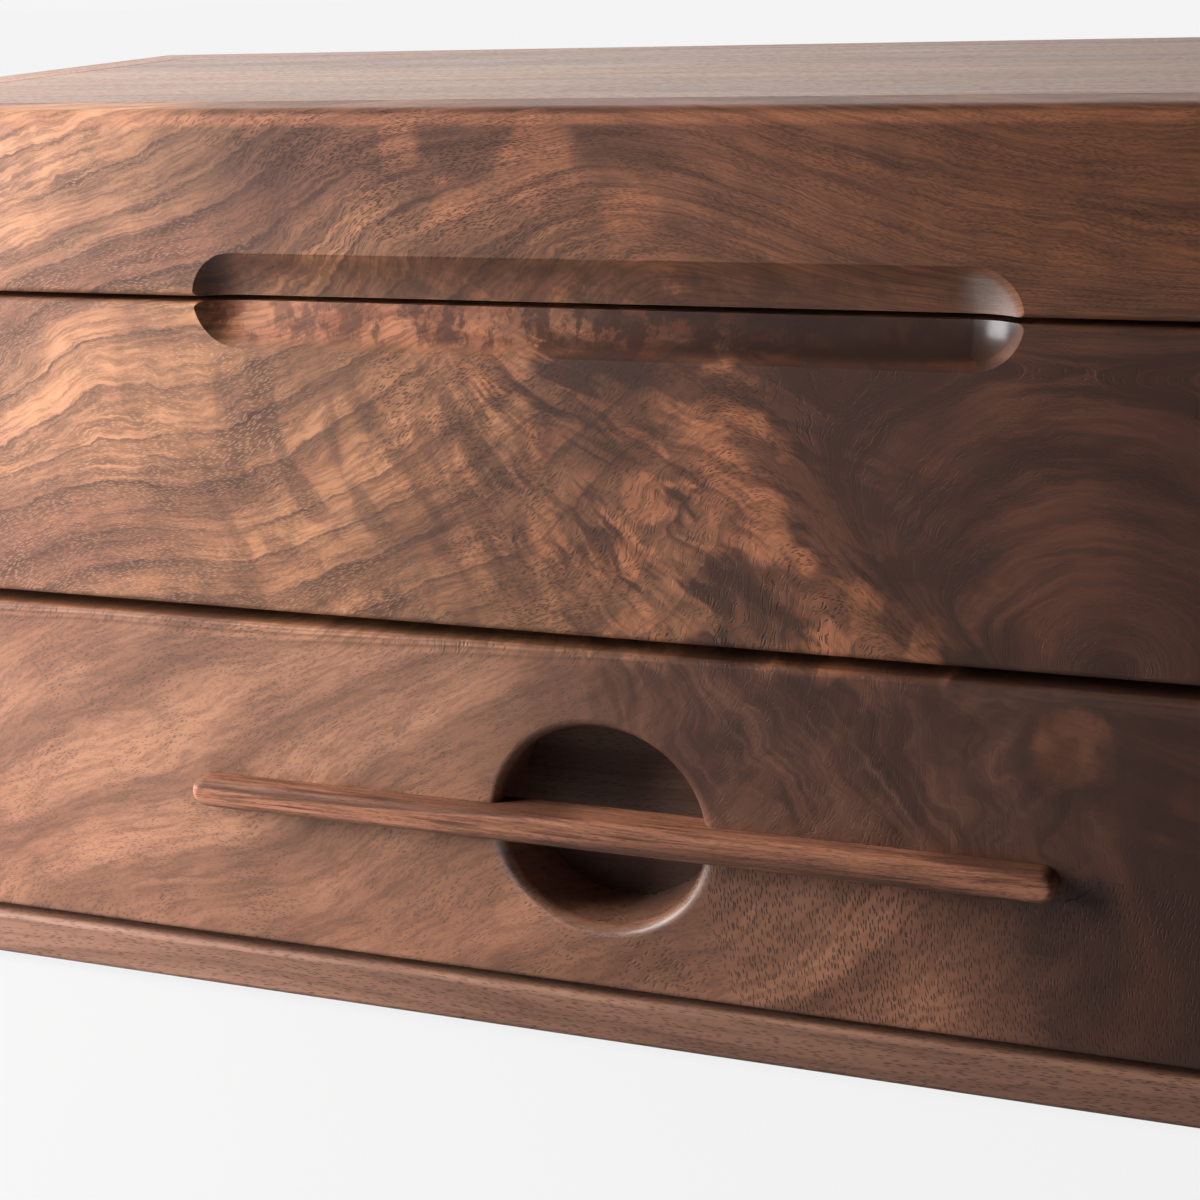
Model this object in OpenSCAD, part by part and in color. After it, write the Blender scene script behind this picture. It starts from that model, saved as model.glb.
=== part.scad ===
// Watch box: a hinged lid over a tray of watch cushions, and a side-hung drawer below.
// The front faces -Y and +Z is up. The origin is the middle of the footprint, on the table.
// Lengths are millimetres.

/* [Box] */
// Outside width of the box
box_w = 280; // [250:1:340]
// Outside depth, from the front face to the back face
box_d = 135; // [125:1:170]
// Thickness of the case walls, the lid rails and the drawer face
wall_t = 12; // [11:0.5:15]
// Radius that eases the outside edges
ease_r = 1; // [0.4:0.1:1.5]
// Clearance round a panel or a board that sits in a groove
groove_fit = 0.1; // [0.05:0.01:0.2]
// How far a panel's edge goes into its groove
groove_in = 4; // [2.5:0.1:5]
// Thickness of the suede linings
lining_t = 1.5; // [0.8:0.1:3]
// Gap between a lining and the walls round it
lining_gap = 0.3; // [0.1:0.1:0.8]

/* [Heights] */
// Thickness of the pads under the base
foot_t = 1.5; // [1:0.1:4]
// Thickness of the base panel, whose edge shows as the lowest strip
base_t = 7.7; // [6:0.1:12]
// Height of the drawer face
drawer_face_h = 54.3; // [48:0.1:70]
// Height of the case front above the drawer
case_front_h = 46.7; // [42:0.1:60]
// Height of the lid
lid_h = 26.5; // [24:0.1:36]
// Gap under the drawer face
base_gap = 1.6; // [1:0.1:2.5]
// Gap over the drawer face
drawer_gap = 2; // [1:0.1:3]
// Shadow gap between the case and the lid
lid_gap = 0.8; // [0.6:0.1:1.6]

/* [Lid] */
// Thickness of the panel let into the lid frame
panel_t = 7; // [6:0.1:9]
// Thickness of the panel's tongue
tongue_t = 3.2; // [2:0.1:4]
// Shadow line between the panel and the rails round it
panel_gap = 0.4; // [0.2:0.1:0.8]
// How far the lid opens, in degrees
lid_open = 95; // [90:1:110]
// Angle left between the bevelled stops at full opening, in degrees
stop_ease = 2; // [1:0.5:4]
// Radius of the two soft dots that the lid closes on
dot_r = 3; // [2:0.1:4]

/* [Finger slot] */
// Length of the slot along the joint of lid and case
slot_l = 119; // [80:1:150]
// Radius of the round-nosed cutter that made it
slot_cut_r = 9.5; // [8:0.1:14]
// Depth of the slot
slot_depth = 2.9; // [2:0.1:4]

/* [Drawer pull] */
// Diameter of the round pocket in the drawer face
pocket_d = 32; // [26:0.5:36]
// Round-over on the pocket's rim
rim_r = 1.6; // [0.8:0.1:2.5]
// How far the pocket's centre lies below the middle of the drawer face
pocket_drop = 0.75; // [0:0.05:3]
// Length of the bar across the pocket
pull_l = 133; // [100:1:150]
// Height of the bar
pull_h = 4.7; // [4:0.1:7]
// How far the bar stands proud of the drawer face
pull_out = 3.4; // [2:0.1:6]
// How far the bar is let into the drawer face
pull_in = 3; // [2:0.1:5]
// Round-over on the bar's front edges
pull_ease = 1.2; // [0.5:0.1:1.8]
// Glue clearance round the bar in its groove
glue_fit = 0.05; // [0.02:0.01:0.1]

/* [Drawer box] */
// Thickness of the drawer's sides
drawer_side_t = 9; // [8:0.5:11]
// Thickness of the drawer box's front and back
drawer_end_t = 8; // [7:0.5:10]
// Thickness of the drawer's bottom
drawer_bottom_t = 4; // [3:0.5:6]
// How far the drawer's bottom lies above the sides' lower edges
drawer_bottom_up = 4; // [3:0.5:6]
// How far the front and back are housed in the sides
housing_in = 3; // [2:0.1:3.5]
// How far the drawer box's lower edge lies above the drawer face's
drawer_box_up = 1.5; // [0.5:0.1:4]
// How far the drawer box's upper edge lies below the drawer face's
drawer_box_down = 6; // [4:0.5:12]
// Gap between the drawer's sides and the case
side_gap = 0.6; // [0.4:0.1:1]
// Gap along the mitred ends of the drawer face
mitre_gap = 0.5; // [0.3:0.1:1]

/* [Runners] */
// How far a runner stands out from the case side
runner_w = 5; // [4:0.1:5.5]
// Height of a runner
runner_h = 8; // [7:0.1:12]
// Clearance between a runner and the groove that rides on it
run_gap = 0.3; // [0.2:0.05:0.5]
// Gap between the drawer face and the runner's front end
runner_front = 1; // [0.6:0.1:4]
// Gap between the case back and the runner's far end
runner_back = 6; // [4:0.5:12]
// Thickness of the pads that stop the drawer at the back
bumper_t = 2; // [1:0.1:4]
// Radius of those pads
bumper_r = 5; // [3:0.1:8]
// Gap between the closed drawer and those pads
bumper_gap = 0.3; // [0.2:0.1:0.6]

/* [Tray] */
// Number of watches in the row
watch_count = 5; // [4:1:6]
// Thickness of the tray floor
tray_floor_t = 5; // [4:0.5:8]
// How far the tray floor lies above the case front's lower edge
tray_floor_up = 3; // [2:0.5:6]
// Thickness of the slats between the watches
slat_t = 3; // [2:0.1:5]
// How far the slats' upper edges lie below the case's rim
slat_drop = 7.2; // [4:0.2:14]
// Clearance at the ends of the slats
slat_fit = 0.1; // [0.05:0.05:0.3]

/* [Cushions] */
// Gap between a cushion and the slats beside it
cushion_gap = 0.6; // [0.3:0.1:2]
// Length of a cushion, from front to back
cushion_l = 92; // [75:1:98]
// Height of a cushion
cushion_h = 40; // [30:1:44]
// Squareness of a cushion's oval: 2 is an ellipse
cushion_square = 2.7; // [2.2:0.1:3.5]
// How much the sewn ends draw in, as a share of the cushion's section
cushion_draw = 0.13; // [0.05:0.01:0.2]
// How far the end panels bulge
cushion_bulge = 3; // [1:0.5:5]
// How much the cushion settles on the tray
cushion_settle = 2.5; // [1:0.5:4]

/* [Hinges] */
// Length of a hinge
hinge_l = 36; // [30:1:50]
// Distance from the box's side to the near end of a hinge
hinge_inset = 30; // [20:1:60]
// Distance of the hinge pin from the back face
hinge_in = 4; // [3.6:0.1:4.4]
// Width of a leaf, from the pin
leaf_w = 7; // [6.6:0.1:7.4]
// Thickness of a leaf
leaf_t = 1.4; // [1:0.1:2]
// Gap between the two leaves when the lid is shut
leaf_gap = 0.3; // [0.2:0.05:0.5]
// Radius of the barrel
barrel_r = 2.4; // [2:0.1:2.8]
// Radius of the pin
pin_r = 1.1; // [0.8:0.05:1.3]
// Running clearance round the pin
pin_fit = 0.05; // [0.02:0.01:0.09]
// Length of the lid's knuckle in the middle of the barrel
knuckle_l = 14; // [10:0.5:18]
// Gap between the knuckles, and between the barrel and the wood
knuckle_gap = 0.3; // [0.2:0.05:0.5]

/* [Screws] */
// Shank radius of the hinge screws
hinge_screw_r = 0.9; // [0.7:0.05:1.1]
// Head radius of the hinge screws
hinge_head_r = 1.7; // [1.4:0.05:2]
// Length of the hinge screws
hinge_screw_l = 9; // [6:0.5:12]
// Distance from a hinge's end to its screws
hinge_screw_in = 6; // [4:0.5:8]
// Shank radius of the wood screws
wood_screw_r = 1.4; // [1.1:0.05:1.8]
// Head radius of the wood screws
wood_head_r = 2.9; // [2.4:0.05:3.3]
// Length of the screws through the base
base_screw_l = 20; // [16:1:26]
// Length of the screws through the runners
runner_screw_l = 11; // [8:0.5:13]
// Length of the screws that hold the drawer face
face_screw_l = 15; // [12:0.5:17]
// Distance from the front and back faces to the screws into the case sides
base_screw_in = 36; // [30:1:50]
// Distance from the box's sides to the screws into the case back
back_screw_in = 72; // [50:1:100]
// Distance from a runner's ends to its screws
runner_screw_in = 18; // [10:1:30]
// Distance from the drawer's sides to the face's screws
face_screw_in = 24; // [16:1:34]
// Height of the face's screws above and below the pocket's centre
face_screw_up = 12; // [8:0.5:14]
// Width of the slot in a screw's head
screw_slot_w = 0.6; // [0.4:0.1:0.9]
// Depth of the slot in a screw's head
screw_slot_depth = 0.5; // [0.3:0.1:0.7]
// Clearance between a screw and its hole
screw_fit = 0.05; // [0.02:0.01:0.1]

/* [Feet] */
// Radius of the pads under the base
foot_r = 8; // [5:0.5:12]
// Distance from the box's sides to the middle of a pad
foot_in = 18; // [14:1:26]

/* [Hidden] */
$fn = 96;
// Overshoot of a cut past the face that it opens
over = 1;

// Plan: the bar stands proud at the front, so the box sits a little back of the middle
front_y = (pull_out - box_d) / 2;
back_y = front_y + box_d;
mid_y = (front_y + back_y) / 2;
inner_w = box_w - 2 * wall_t;
inner_d = box_d - 2 * wall_t;
face_back_y = front_y + wall_t;
back_inner_y = back_y - wall_t;
edge_in = groove_in - groove_fit;

// Levels, from the table up
base_z = foot_t;
base_top = base_z + base_t;
face_z = base_top + base_gap;
face_top = face_z + drawer_face_h;
case_z = face_top + drawer_gap;
case_top = case_z + case_front_h;
joint_z = case_top + lid_gap / 2;
lid_z = case_top + lid_gap;
lid_top = lid_z + lid_h;
panel_z = lid_top - panel_t;

// Finger slot: half its height on the front face
slot_half_h = sqrt(2 * slot_cut_r * slot_depth - slot_depth * slot_depth);

// Drawer
pocket_z = face_z + drawer_face_h / 2 - pocket_drop;
drawer_w = inner_w - 2 * side_gap;
drawer_inner_w = drawer_w - 2 * drawer_side_t;
drawer_z = face_z + drawer_box_up;
drawer_top = face_top - drawer_box_down;
drawer_h = drawer_top - drawer_z;
drawer_back_y = back_inner_y - bumper_t - bumper_gap;
drawer_l = drawer_back_y - face_back_y;
drawer_inner_l = drawer_l - 2 * drawer_end_t;
drawer_mid_y = (face_back_y + drawer_back_y) / 2;
drawer_mid_z = (drawer_z + drawer_top) / 2;
drawer_bottom_z = drawer_z + drawer_bottom_up;
runner_l = inner_d - runner_front - runner_back;
runner_y = face_back_y + runner_front + runner_l / 2;
face_screw_x = drawer_inner_w / 2 - face_screw_in;

// Tray
tray_floor_z = case_z + tray_floor_up;
tray_z = tray_floor_z + tray_floor_t;
tray_lining_z = tray_z + lining_t;
slat_h = case_top - slat_drop - tray_lining_z;
compartment_w = (inner_w - (watch_count - 1) * slat_t) / watch_count;
cushion_w = compartment_w - 2 * cushion_gap;
cushion_rings = 8;
cushion_sides = 28;
// An inner ring on each end panel: its share of the seam, and its fall as a share of the bulge
cushion_panel_share = 0.6;
cushion_panel_fall = 0.25;

// Hinges
hinge_y = back_y - hinge_in;
hinge_x = box_w / 2 - hinge_inset - hinge_l / 2;
hinge_screw_y = hinge_y - (leaf_w + barrel_r) / 2;
hinge_screw_x = hinge_l / 2 - hinge_screw_in;
stop_angle = (lid_open + stop_ease) / 2;

walnut = "#6b4327";
maple = "#c9a878";
brass = "#b99045";
suede = "#3a3634";
leather = "#8a5a34";
felt = "#2b2a2a";
silicone = "#d8d8d4";

// A flat rectangle with round corners, centred on the origin
module rounded_rectangle(size, r) {
    square([size.x - 2 * r, size.y], center = true);
    square([size.x, size.y - 2 * r], center = true);
    for (sx = [-1, 1], sy = [-1, 1])
        translate([sx * (size.x / 2 - r), sy * (size.y / 2 - r)]) circle(r);
}

// A block of the box's full footprint, with all its outside edges eased
module eased_block(z, h) {
    translate([0, mid_y, z + h / 2])
        intersection() {
            linear_extrude(h, center = true) rounded_rectangle([box_w, box_d], ease_r);
            rotate([90, 0, 0]) linear_extrude(box_d, center = true) rounded_rectangle([box_w, h], ease_r);
            rotate([90, 0, 90]) linear_extrude(box_w, center = true) rounded_rectangle([box_d, h], ease_r);
        }
}

// A wall of that block, cut off by mitres: spin turns it from the front, reach is the distance
// between it and the wall that faces it, and trim is what its mitres stand back along its length
module mitred_wall(spin, reach, length, z, h, trim = 0) {
    long = length / 2 - trim;
    short = long - wall_t;
    intersection() {
        eased_block(z, h);
        translate([0, mid_y, z])
            rotate(spin)
                translate([0, -reach / 2, 0])
                    linear_extrude(h)
                        polygon([[-long, 0], [long, 0], [short, wall_t], [-short, wall_t]]);
    }
}

module front_wall(z, h, trim = 0) { mitred_wall(0, box_d, box_w, z, h, trim); }
module back_wall(z, h) { mitred_wall(180, box_d, box_w, z, h); }
module left_wall(z, h) { mitred_wall(-90, box_w, box_d, z, h); }
module right_wall(z, h) { mitred_wall(90, box_w, box_d, z, h); }

// A sheet that fills the inside of the box, grown by extra on every side
module inside_sheet(z, h, extra = 0) {
    translate([-inner_w / 2 - extra, face_back_y - extra, z])
        cube([inner_w + 2 * extra, inner_d + 2 * extra, h]);
}

// Both of a pair, one on each side of the middle
module mirrored_pair() {
    children();
    mirror([1, 0, 0]) children();
}

// A rod along X
module rod_x(length, r) { rotate([0, 90, 0]) cylinder(h = length, r = r, center = true); }

// A countersunk shape turned about Z, from z = top down, with its cone's wide end at z = 0
module countersunk(head_r, shank_r, length, top = 0) {
    sink = head_r - shank_r;
    rotate_extrude()
        polygon([[0, top], [head_r, top], [head_r, 0], [shank_r, -sink], [shank_r, -length], [0, -length]]);
}

// A countersunk hole down from z = 0, with room for the screw
module screw_hole(head_r, shank_r, length) {
    countersunk(head_r + screw_fit, shank_r + screw_fit, length + screw_fit, over);
}

// A slotted countersunk screw down from z = 0
module screw(head_r, shank_r, length) {
    difference() {
        countersunk(head_r, shank_r, length);
        cube([2 * head_r + over, screw_slot_w, 2 * screw_slot_depth], center = true);
    }
}

// Places of the screws, each pointing into the wood with its head at the surface

module at_base_screws() {
    side_x = (box_w - wall_t) / 2;
    for (sx = [-1, 1], y = [front_y + base_screw_in, back_y - base_screw_in])
        translate([sx * side_x, y, base_z]) rotate([180, 0, 0]) children();
    for (sx = [-1, 1])
        translate([sx * (box_w / 2 - back_screw_in), back_y - wall_t / 2, base_z])
            rotate([180, 0, 0]) children();
}

module at_runner_screws(side) {
    apart = runner_l / 2 - runner_screw_in;
    for (sy = [-1, 1])
        translate([side * (inner_w / 2 - runner_w), runner_y + sy * apart, drawer_mid_z])
            rotate([0, -side * 90, 0]) children();
}

module at_face_screws() {
    for (sx = [-1, 1], sz = [-1, 1])
        translate([sx * face_screw_x, face_back_y + drawer_end_t, pocket_z + sz * face_screw_up])
            rotate([-90, 0, 0]) children();
}

// Screws of both hinges, into the case with up = 1 or into the lid with up = -1
module at_hinge_screws(up) {
    for (sx = [-1, 1], sh = [-1, 1])
        translate([sx * hinge_x + sh * hinge_screw_x, hinge_screw_y, joint_z - up * leaf_gap / 2])
            rotate([up > 0 ? 0 : 180, 0, 0]) children();
}

// Cuts that several pieces share

// The slot that a round-nosed cutter leaves along the joint
module finger_slot() {
    straight = slot_l - 2 * slot_half_h;
    translate([0, front_y + slot_depth - slot_cut_r, joint_z])
        rotate([0, 90, 0])
            rotate_extrude()
                intersection() {
                    union() {
                        square([2 * slot_cut_r, straight], center = true);
                        for (sy = [-1, 1]) translate([0, sy * straight / 2]) circle(slot_cut_r);
                    }
                    translate([0, -slot_l]) square([slot_l, 2 * slot_l]);
                }
}

// The bevels behind the hinge pin, which meet when the lid is open
module stop_bevels() {
    reach = hinge_in + over;
    rise = reach * tan(stop_angle);
    translate([-box_w / 2 - over, hinge_y, joint_z])
        rotate([90, 0, 90])
            linear_extrude(box_w + 2 * over)
                polygon([[0, 0], [reach, -rise], [reach, rise]]);
}

// The gains that the hinges lie in
module hinge_gains() {
    depth = leaf_gap / 2 + leaf_t;
    for (sx = [-1, 1]) translate([sx * hinge_x, hinge_y, joint_z]) {
        translate([-hinge_l / 2 - knuckle_gap, -leaf_w - knuckle_gap, -depth])
            cube([hinge_l + 2 * knuckle_gap, leaf_w + knuckle_gap, 2 * depth]);
        rod_x(hinge_l + 2 * knuckle_gap, barrel_r + knuckle_gap);
    }
}

// The groove round the case for the tray floor
module tray_groove() { inside_sheet(tray_floor_z - groove_fit, tray_floor_t + 2 * groove_fit, groove_in); }

// The groove round the lid for the panel's tongue
module panel_groove() { inside_sheet(panel_z - groove_fit, tongue_t + 2 * groove_fit, groove_in); }

module hinge_screw_hole() { screw_hole(hinge_head_r, hinge_screw_r, hinge_screw_l); }
module hinge_screw() { screw(hinge_head_r, hinge_screw_r, hinge_screw_l); }
module base_screw_hole() { screw_hole(wood_head_r, wood_screw_r, base_screw_l); }
module runner_screw_hole() { screw_hole(wood_head_r, wood_screw_r, runner_screw_l); }
module face_screw_hole() { screw_hole(wood_head_r, wood_screw_r, face_screw_l); }

// Case

module case_front() {
    color(walnut)
        difference() {
            front_wall(case_z, case_front_h);
            tray_groove();
            finger_slot();
        }
}

module case_back() {
    color(walnut)
        difference() {
            back_wall(base_top, case_top - base_top);
            tray_groove();
            stop_bevels();
            hinge_gains();
            at_hinge_screws(1) hinge_screw_hole();
            at_base_screws() base_screw_hole();
        }
}

module case_side_cuts(side) {
    tray_groove();
    stop_bevels();
    at_base_screws() base_screw_hole();
    at_runner_screws(side) runner_screw_hole();
}

module case_left_side() {
    color(walnut)
        difference() {
            left_wall(base_top, case_top - base_top);
            case_side_cuts(-1);
        }
}

module case_right_side() {
    color(walnut)
        difference() {
            right_wall(base_top, case_top - base_top);
            case_side_cuts(1);
        }
}

module base_panel() {
    color(walnut)
        difference() {
            eased_block(base_z, base_t);
            at_base_screws() base_screw_hole();
        }
}

module base_screws() {
    color(brass) at_base_screws() screw(wood_head_r, wood_screw_r, base_screw_l);
}

module foot_pads() {
    color(felt)
        for (sx = [-1, 1], y = [front_y + foot_in, back_y - foot_in])
            translate([sx * (box_w / 2 - foot_in), y, 0]) cylinder(h = foot_t, r = foot_r);
}

// Tray

module tray_floor() {
    color(maple) inside_sheet(tray_floor_z, tray_floor_t, edge_in);
}

module tray_lining() {
    color(suede) inside_sheet(tray_z, lining_t, -lining_gap);
}

// A slat with a round upper edge
module tray_slat(i) {
    x = -inner_w / 2 + i * compartment_w + (i - 0.5) * slat_t;
    color(walnut)
        translate([x, mid_y, tray_lining_z])
            rotate([90, 0, 0])
                linear_extrude(inner_d - 2 * slat_fit, center = true) {
                    translate([-slat_t / 2, 0]) square([slat_t, slat_h - slat_t / 2]);
                    translate([0, slat_h - slat_t / 2]) circle(slat_t / 2);
                }
}

// One point of a rounded oval, from -1 to 1 both ways
function oval(a) = let (p = 2 / cushion_square)
    [sign(cos(a)) * pow(abs(cos(a)), p), sign(sin(a)) * pow(abs(sin(a)), p)];

// A ring of the cushion at x, with its oval section drawn in to a share of its full size
function cushion_ring(x, share) = [
    for (k = [0:cushion_sides - 1])
        let (q = oval(360 * k / cushion_sides))
        let (high = (cushion_h + cushion_settle) * (1 + share * q.y) / 2 - cushion_settle)
        [x, share * q.x * cushion_l / 2, max(0, high - (1 - share) * cushion_h / 2)]
];

// Rings from the left end panel, over the crown, to the right end panel
cushion_seam_x = cushion_w / 2 - cushion_bulge;
cushion_seam = 1 - cushion_draw;
cushion_panel = cushion_seam * cushion_panel_share;
cushion_panel_x = cushion_w / 2 - cushion_bulge * cushion_panel_fall;
cushion_points = concat(
    cushion_ring(-cushion_panel_x, cushion_panel),
    [
        for (i = [0:cushion_rings])
            let (u = 2 * i / cushion_rings - 1)
            each cushion_ring(u * cushion_seam_x, 1 - cushion_draw * u * u)
    ],
    cushion_ring(cushion_panel_x, cushion_panel),
    [[-cushion_w / 2, 0, cushion_h / 2 * cushion_seam], [cushion_w / 2, 0, cushion_h / 2 * cushion_seam]]
);
cushion_bands = cushion_rings + 2;
cushion_left_tip = (cushion_bands + 1) * cushion_sides;
cushion_faces = concat(
    [
        for (i = [0:cushion_bands - 1], k = [0:cushion_sides - 1])
            let (a = i * cushion_sides, b = a + cushion_sides, n = (k + 1) % cushion_sides)
            each [[a + k, b + n, b + k], [a + k, a + n, b + n]]
    ],
    [for (k = [0:cushion_sides - 1]) [cushion_left_tip, (k + 1) % cushion_sides, k]],
    [
        for (k = [0:cushion_sides - 1])
            let (a = cushion_bands * cushion_sides)
            [cushion_left_tip + 1, a + k, a + (k + 1) % cushion_sides]
    ]
);

module watch_cushion(i) {
    x = -inner_w / 2 + (i - 0.5) * compartment_w + (i - 1) * slat_t;
    color(leather)
        translate([x, mid_y, tray_lining_z]) polyhedron(cushion_points, cushion_faces);
}

// Drawer runners, and what the drawer and the lid close on

module drawer_runner(side) {
    color(maple)
        difference() {
            translate([side * (inner_w - runner_w) / 2, runner_y, drawer_mid_z])
                cube([runner_w, runner_l, runner_h], center = true);
            at_runner_screws(side) runner_screw_hole();
        }
}

module runner_screws() {
    color(brass)
        for (side = [-1, 1])
            at_runner_screws(side) screw(wood_head_r, wood_screw_r, runner_screw_l);
}

module drawer_bumpers() {
    color(felt)
        mirrored_pair()
            translate([drawer_inner_w / 2 - bumper_r, back_inner_y, drawer_mid_z])
                rotate([90, 0, 0]) cylinder(h = bumper_t, r = bumper_r);
}

module lid_dots() {
    color(silicone)
        mirrored_pair()
            translate([(box_w - wall_t) / 2, front_y + wall_t / 2, case_top])
                cylinder(h = lid_gap, r = dot_r);
}

// Hinges: the case leaf has the two outer knuckles, the lid leaf the middle one

// A leaf at the origin's pin, with its plate on the lower side
module leaf_plate() {
    translate([-hinge_l / 2, -leaf_w, -leaf_gap / 2 - leaf_t]) cube([hinge_l, leaf_w, leaf_t]);
}

module outer_knuckles(r, shorten) {
    outer_l = (hinge_l - knuckle_l) / 2 - shorten;
    mirrored_pair() translate([(hinge_l - outer_l) / 2, 0, 0]) rod_x(outer_l, r);
}

module hinge_case_leaf(side) {
    color(brass)
        difference() {
            translate([side * hinge_x, hinge_y, joint_z])
                difference() {
                    union() {
                        leaf_plate();
                        outer_knuckles(barrel_r, knuckle_gap);
                    }
                    rod_x(knuckle_l, barrel_r + knuckle_gap);
                    rod_x(hinge_l + over, pin_r + pin_fit);
                }
            at_hinge_screws(1) hinge_screw_hole();
        }
}

module hinge_lid_leaf(side) {
    color(brass)
        difference() {
            translate([side * hinge_x, hinge_y, joint_z])
                difference() {
                    union() {
                        mirror([0, 0, 1]) leaf_plate();
                        rod_x(knuckle_l - 2 * knuckle_gap, barrel_r);
                    }
                    mirrored_pair()
                        translate([(hinge_l + knuckle_l) / 4 + over / 2 - knuckle_gap / 2, 0, 0])
                            rod_x((hinge_l - knuckle_l) / 2 + over + knuckle_gap, barrel_r + knuckle_gap);
                    rod_x(hinge_l + over, pin_r + pin_fit);
                }
            at_hinge_screws(-1) hinge_screw_hole();
        }
}

module hinge_pin(side) {
    color(brass) translate([side * hinge_x, hinge_y, joint_z]) rod_x(hinge_l, pin_r);
}

module hinge_case_screws() { color(brass) at_hinge_screws(1) hinge_screw(); }
module hinge_lid_screws() { color(brass) at_hinge_screws(-1) hinge_screw(); }

// Lid

module lid_front_rail() {
    color(walnut)
        difference() {
            front_wall(lid_z, lid_h);
            panel_groove();
            finger_slot();
        }
}

module lid_back_rail() {
    color(walnut)
        difference() {
            back_wall(lid_z, lid_h);
            panel_groove();
            stop_bevels();
            hinge_gains();
            at_hinge_screws(-1) hinge_screw_hole();
        }
}

module lid_left_rail() {
    color(walnut)
        difference() {
            left_wall(lid_z, lid_h);
            panel_groove();
            stop_bevels();
        }
}

module lid_right_rail() {
    color(walnut)
        difference() {
            right_wall(lid_z, lid_h);
            panel_groove();
            stop_bevels();
        }
}

module lid_panel() {
    color(walnut) {
        inside_sheet(panel_z, panel_t, -panel_gap);
        inside_sheet(panel_z, tongue_t, edge_in);
    }
}

module lid_lining() {
    color(suede) inside_sheet(panel_z - lining_t, lining_t, -lining_gap);
}

// Drawer

// The bar's section from its middle out to its edge, with the front corner rounded
module pull_section(half_h, depth, r) {
    intersection() {
        union() {
            square([half_h - r, depth]);
            square([half_h, depth - r]);
            translate([half_h - r, depth - r]) circle(r);
        }
        square([half_h, depth]);
    }
}

// A bar with round ends, lying along X at the origin and standing up along Z
module round_ended_bar(length, half_h, depth, r) {
    straight = length - 2 * half_h;
    for (sx = [-1, 1])
        translate([sx * straight / 2, 0, 0])
            intersection() {
                rotate_extrude() pull_section(half_h, depth, r);
                translate([sx * half_h, 0, depth / 2]) cube(2 * [half_h, half_h, depth], center = true);
            }
    rotate([90, 0, 90])
        linear_extrude(straight, center = true) {
            pull_section(half_h, depth, r);
            mirror([1, 0]) pull_section(half_h, depth, r);
        }
}

// The pocket bored through the drawer face, from z = 0 down, with its rim rounded over
module pocket_cut() {
    bore_r = pocket_d / 2;
    rotate_extrude()
        difference() {
            union() {
                translate([0, -wall_t - over]) square([bore_r, wall_t + 2 * over]);
                translate([0, -rim_r]) square([bore_r + rim_r, rim_r + over]);
            }
            translate([bore_r + rim_r, -rim_r]) circle(rim_r);
        }
}

// The groove for the bar, from z = 0 down
module pull_groove() {
    half_h = pull_h / 2 + glue_fit;
    straight = pull_l - pull_h;
    depth = pull_in + over;
    translate([0, 0, -pull_in]) {
        translate([-straight / 2, -half_h, 0]) cube([straight, 2 * half_h, depth]);
        for (sx = [-1, 1]) translate([sx * straight / 2, 0, 0]) cylinder(h = depth, r = half_h);
    }
}

// Puts what lies flat at the origin on the drawer face, round the pocket's centre
module on_drawer_face() { translate([0, front_y, pocket_z]) rotate([90, 0, 0]) children(); }

module drawer_face() {
    color(walnut)
        difference() {
            front_wall(face_z, drawer_face_h, mitre_gap * sqrt(2));
            on_drawer_face() pocket_cut();
            on_drawer_face() pull_groove();
            at_face_screws() face_screw_hole();
        }
}

module drawer_pull() {
    color(walnut)
        on_drawer_face()
            translate([0, 0, -pull_in])
                round_ended_bar(pull_l, pull_h / 2, pull_in + pull_out, pull_ease);
}

// An end board of the drawer box, housed in the sides
module drawer_end(y) {
    length = drawer_inner_w + 2 * (housing_in - glue_fit);
    translate([-length / 2, y, drawer_z]) cube([length, drawer_end_t, drawer_h]);
}

// A sheet in the drawer's bottom, grown by extra past the inside of the drawer
module drawer_sheet(z, h, extra) {
    translate([0, drawer_mid_y, z + h / 2])
        cube([drawer_inner_w + 2 * extra, drawer_inner_l + 2 * extra, h], center = true);
}

module drawer_bottom_groove() {
    drawer_sheet(drawer_bottom_z - groove_fit, drawer_bottom_t + 2 * groove_fit, groove_in);
}

module drawer_box_front() {
    color(walnut)
        difference() {
            drawer_end(face_back_y);
            drawer_bottom_groove();
            at_face_screws() face_screw_hole();
        }
}

module drawer_box_back() {
    color(walnut)
        difference() {
            drawer_end(drawer_back_y - drawer_end_t);
            drawer_bottom_groove();
        }
}

module drawer_side(side) {
    groove_depth = runner_w - side_gap + run_gap;
    groove_h = runner_h + 2 * run_gap;
    housing_w = drawer_inner_w + 2 * housing_in;
    color(walnut)
        difference() {
            translate([side * (drawer_w - drawer_side_t) / 2, drawer_mid_y, drawer_mid_z])
                cube([drawer_side_t, drawer_l, drawer_h], center = true);
            translate([side * (drawer_w / 2 - groove_depth / 2 + over / 2), drawer_mid_y, drawer_mid_z])
                cube([groove_depth + over, drawer_l + over, groove_h], center = true);
            for (y = [face_back_y + drawer_end_t / 2, drawer_back_y - drawer_end_t / 2])
                translate([0, y, drawer_mid_z])
                    cube([housing_w, drawer_end_t + 2 * glue_fit, drawer_h + over], center = true);
            drawer_bottom_groove();
        }
}

module drawer_bottom() {
    color(walnut) drawer_sheet(drawer_bottom_z, drawer_bottom_t, edge_in);
}

module drawer_lining() {
    color(suede) drawer_sheet(drawer_bottom_z + drawer_bottom_t, lining_t, -lining_gap);
}

module drawer_face_screws() {
    color(brass) at_face_screws() screw(wood_head_r, wood_screw_r, face_screw_l);
}

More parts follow.
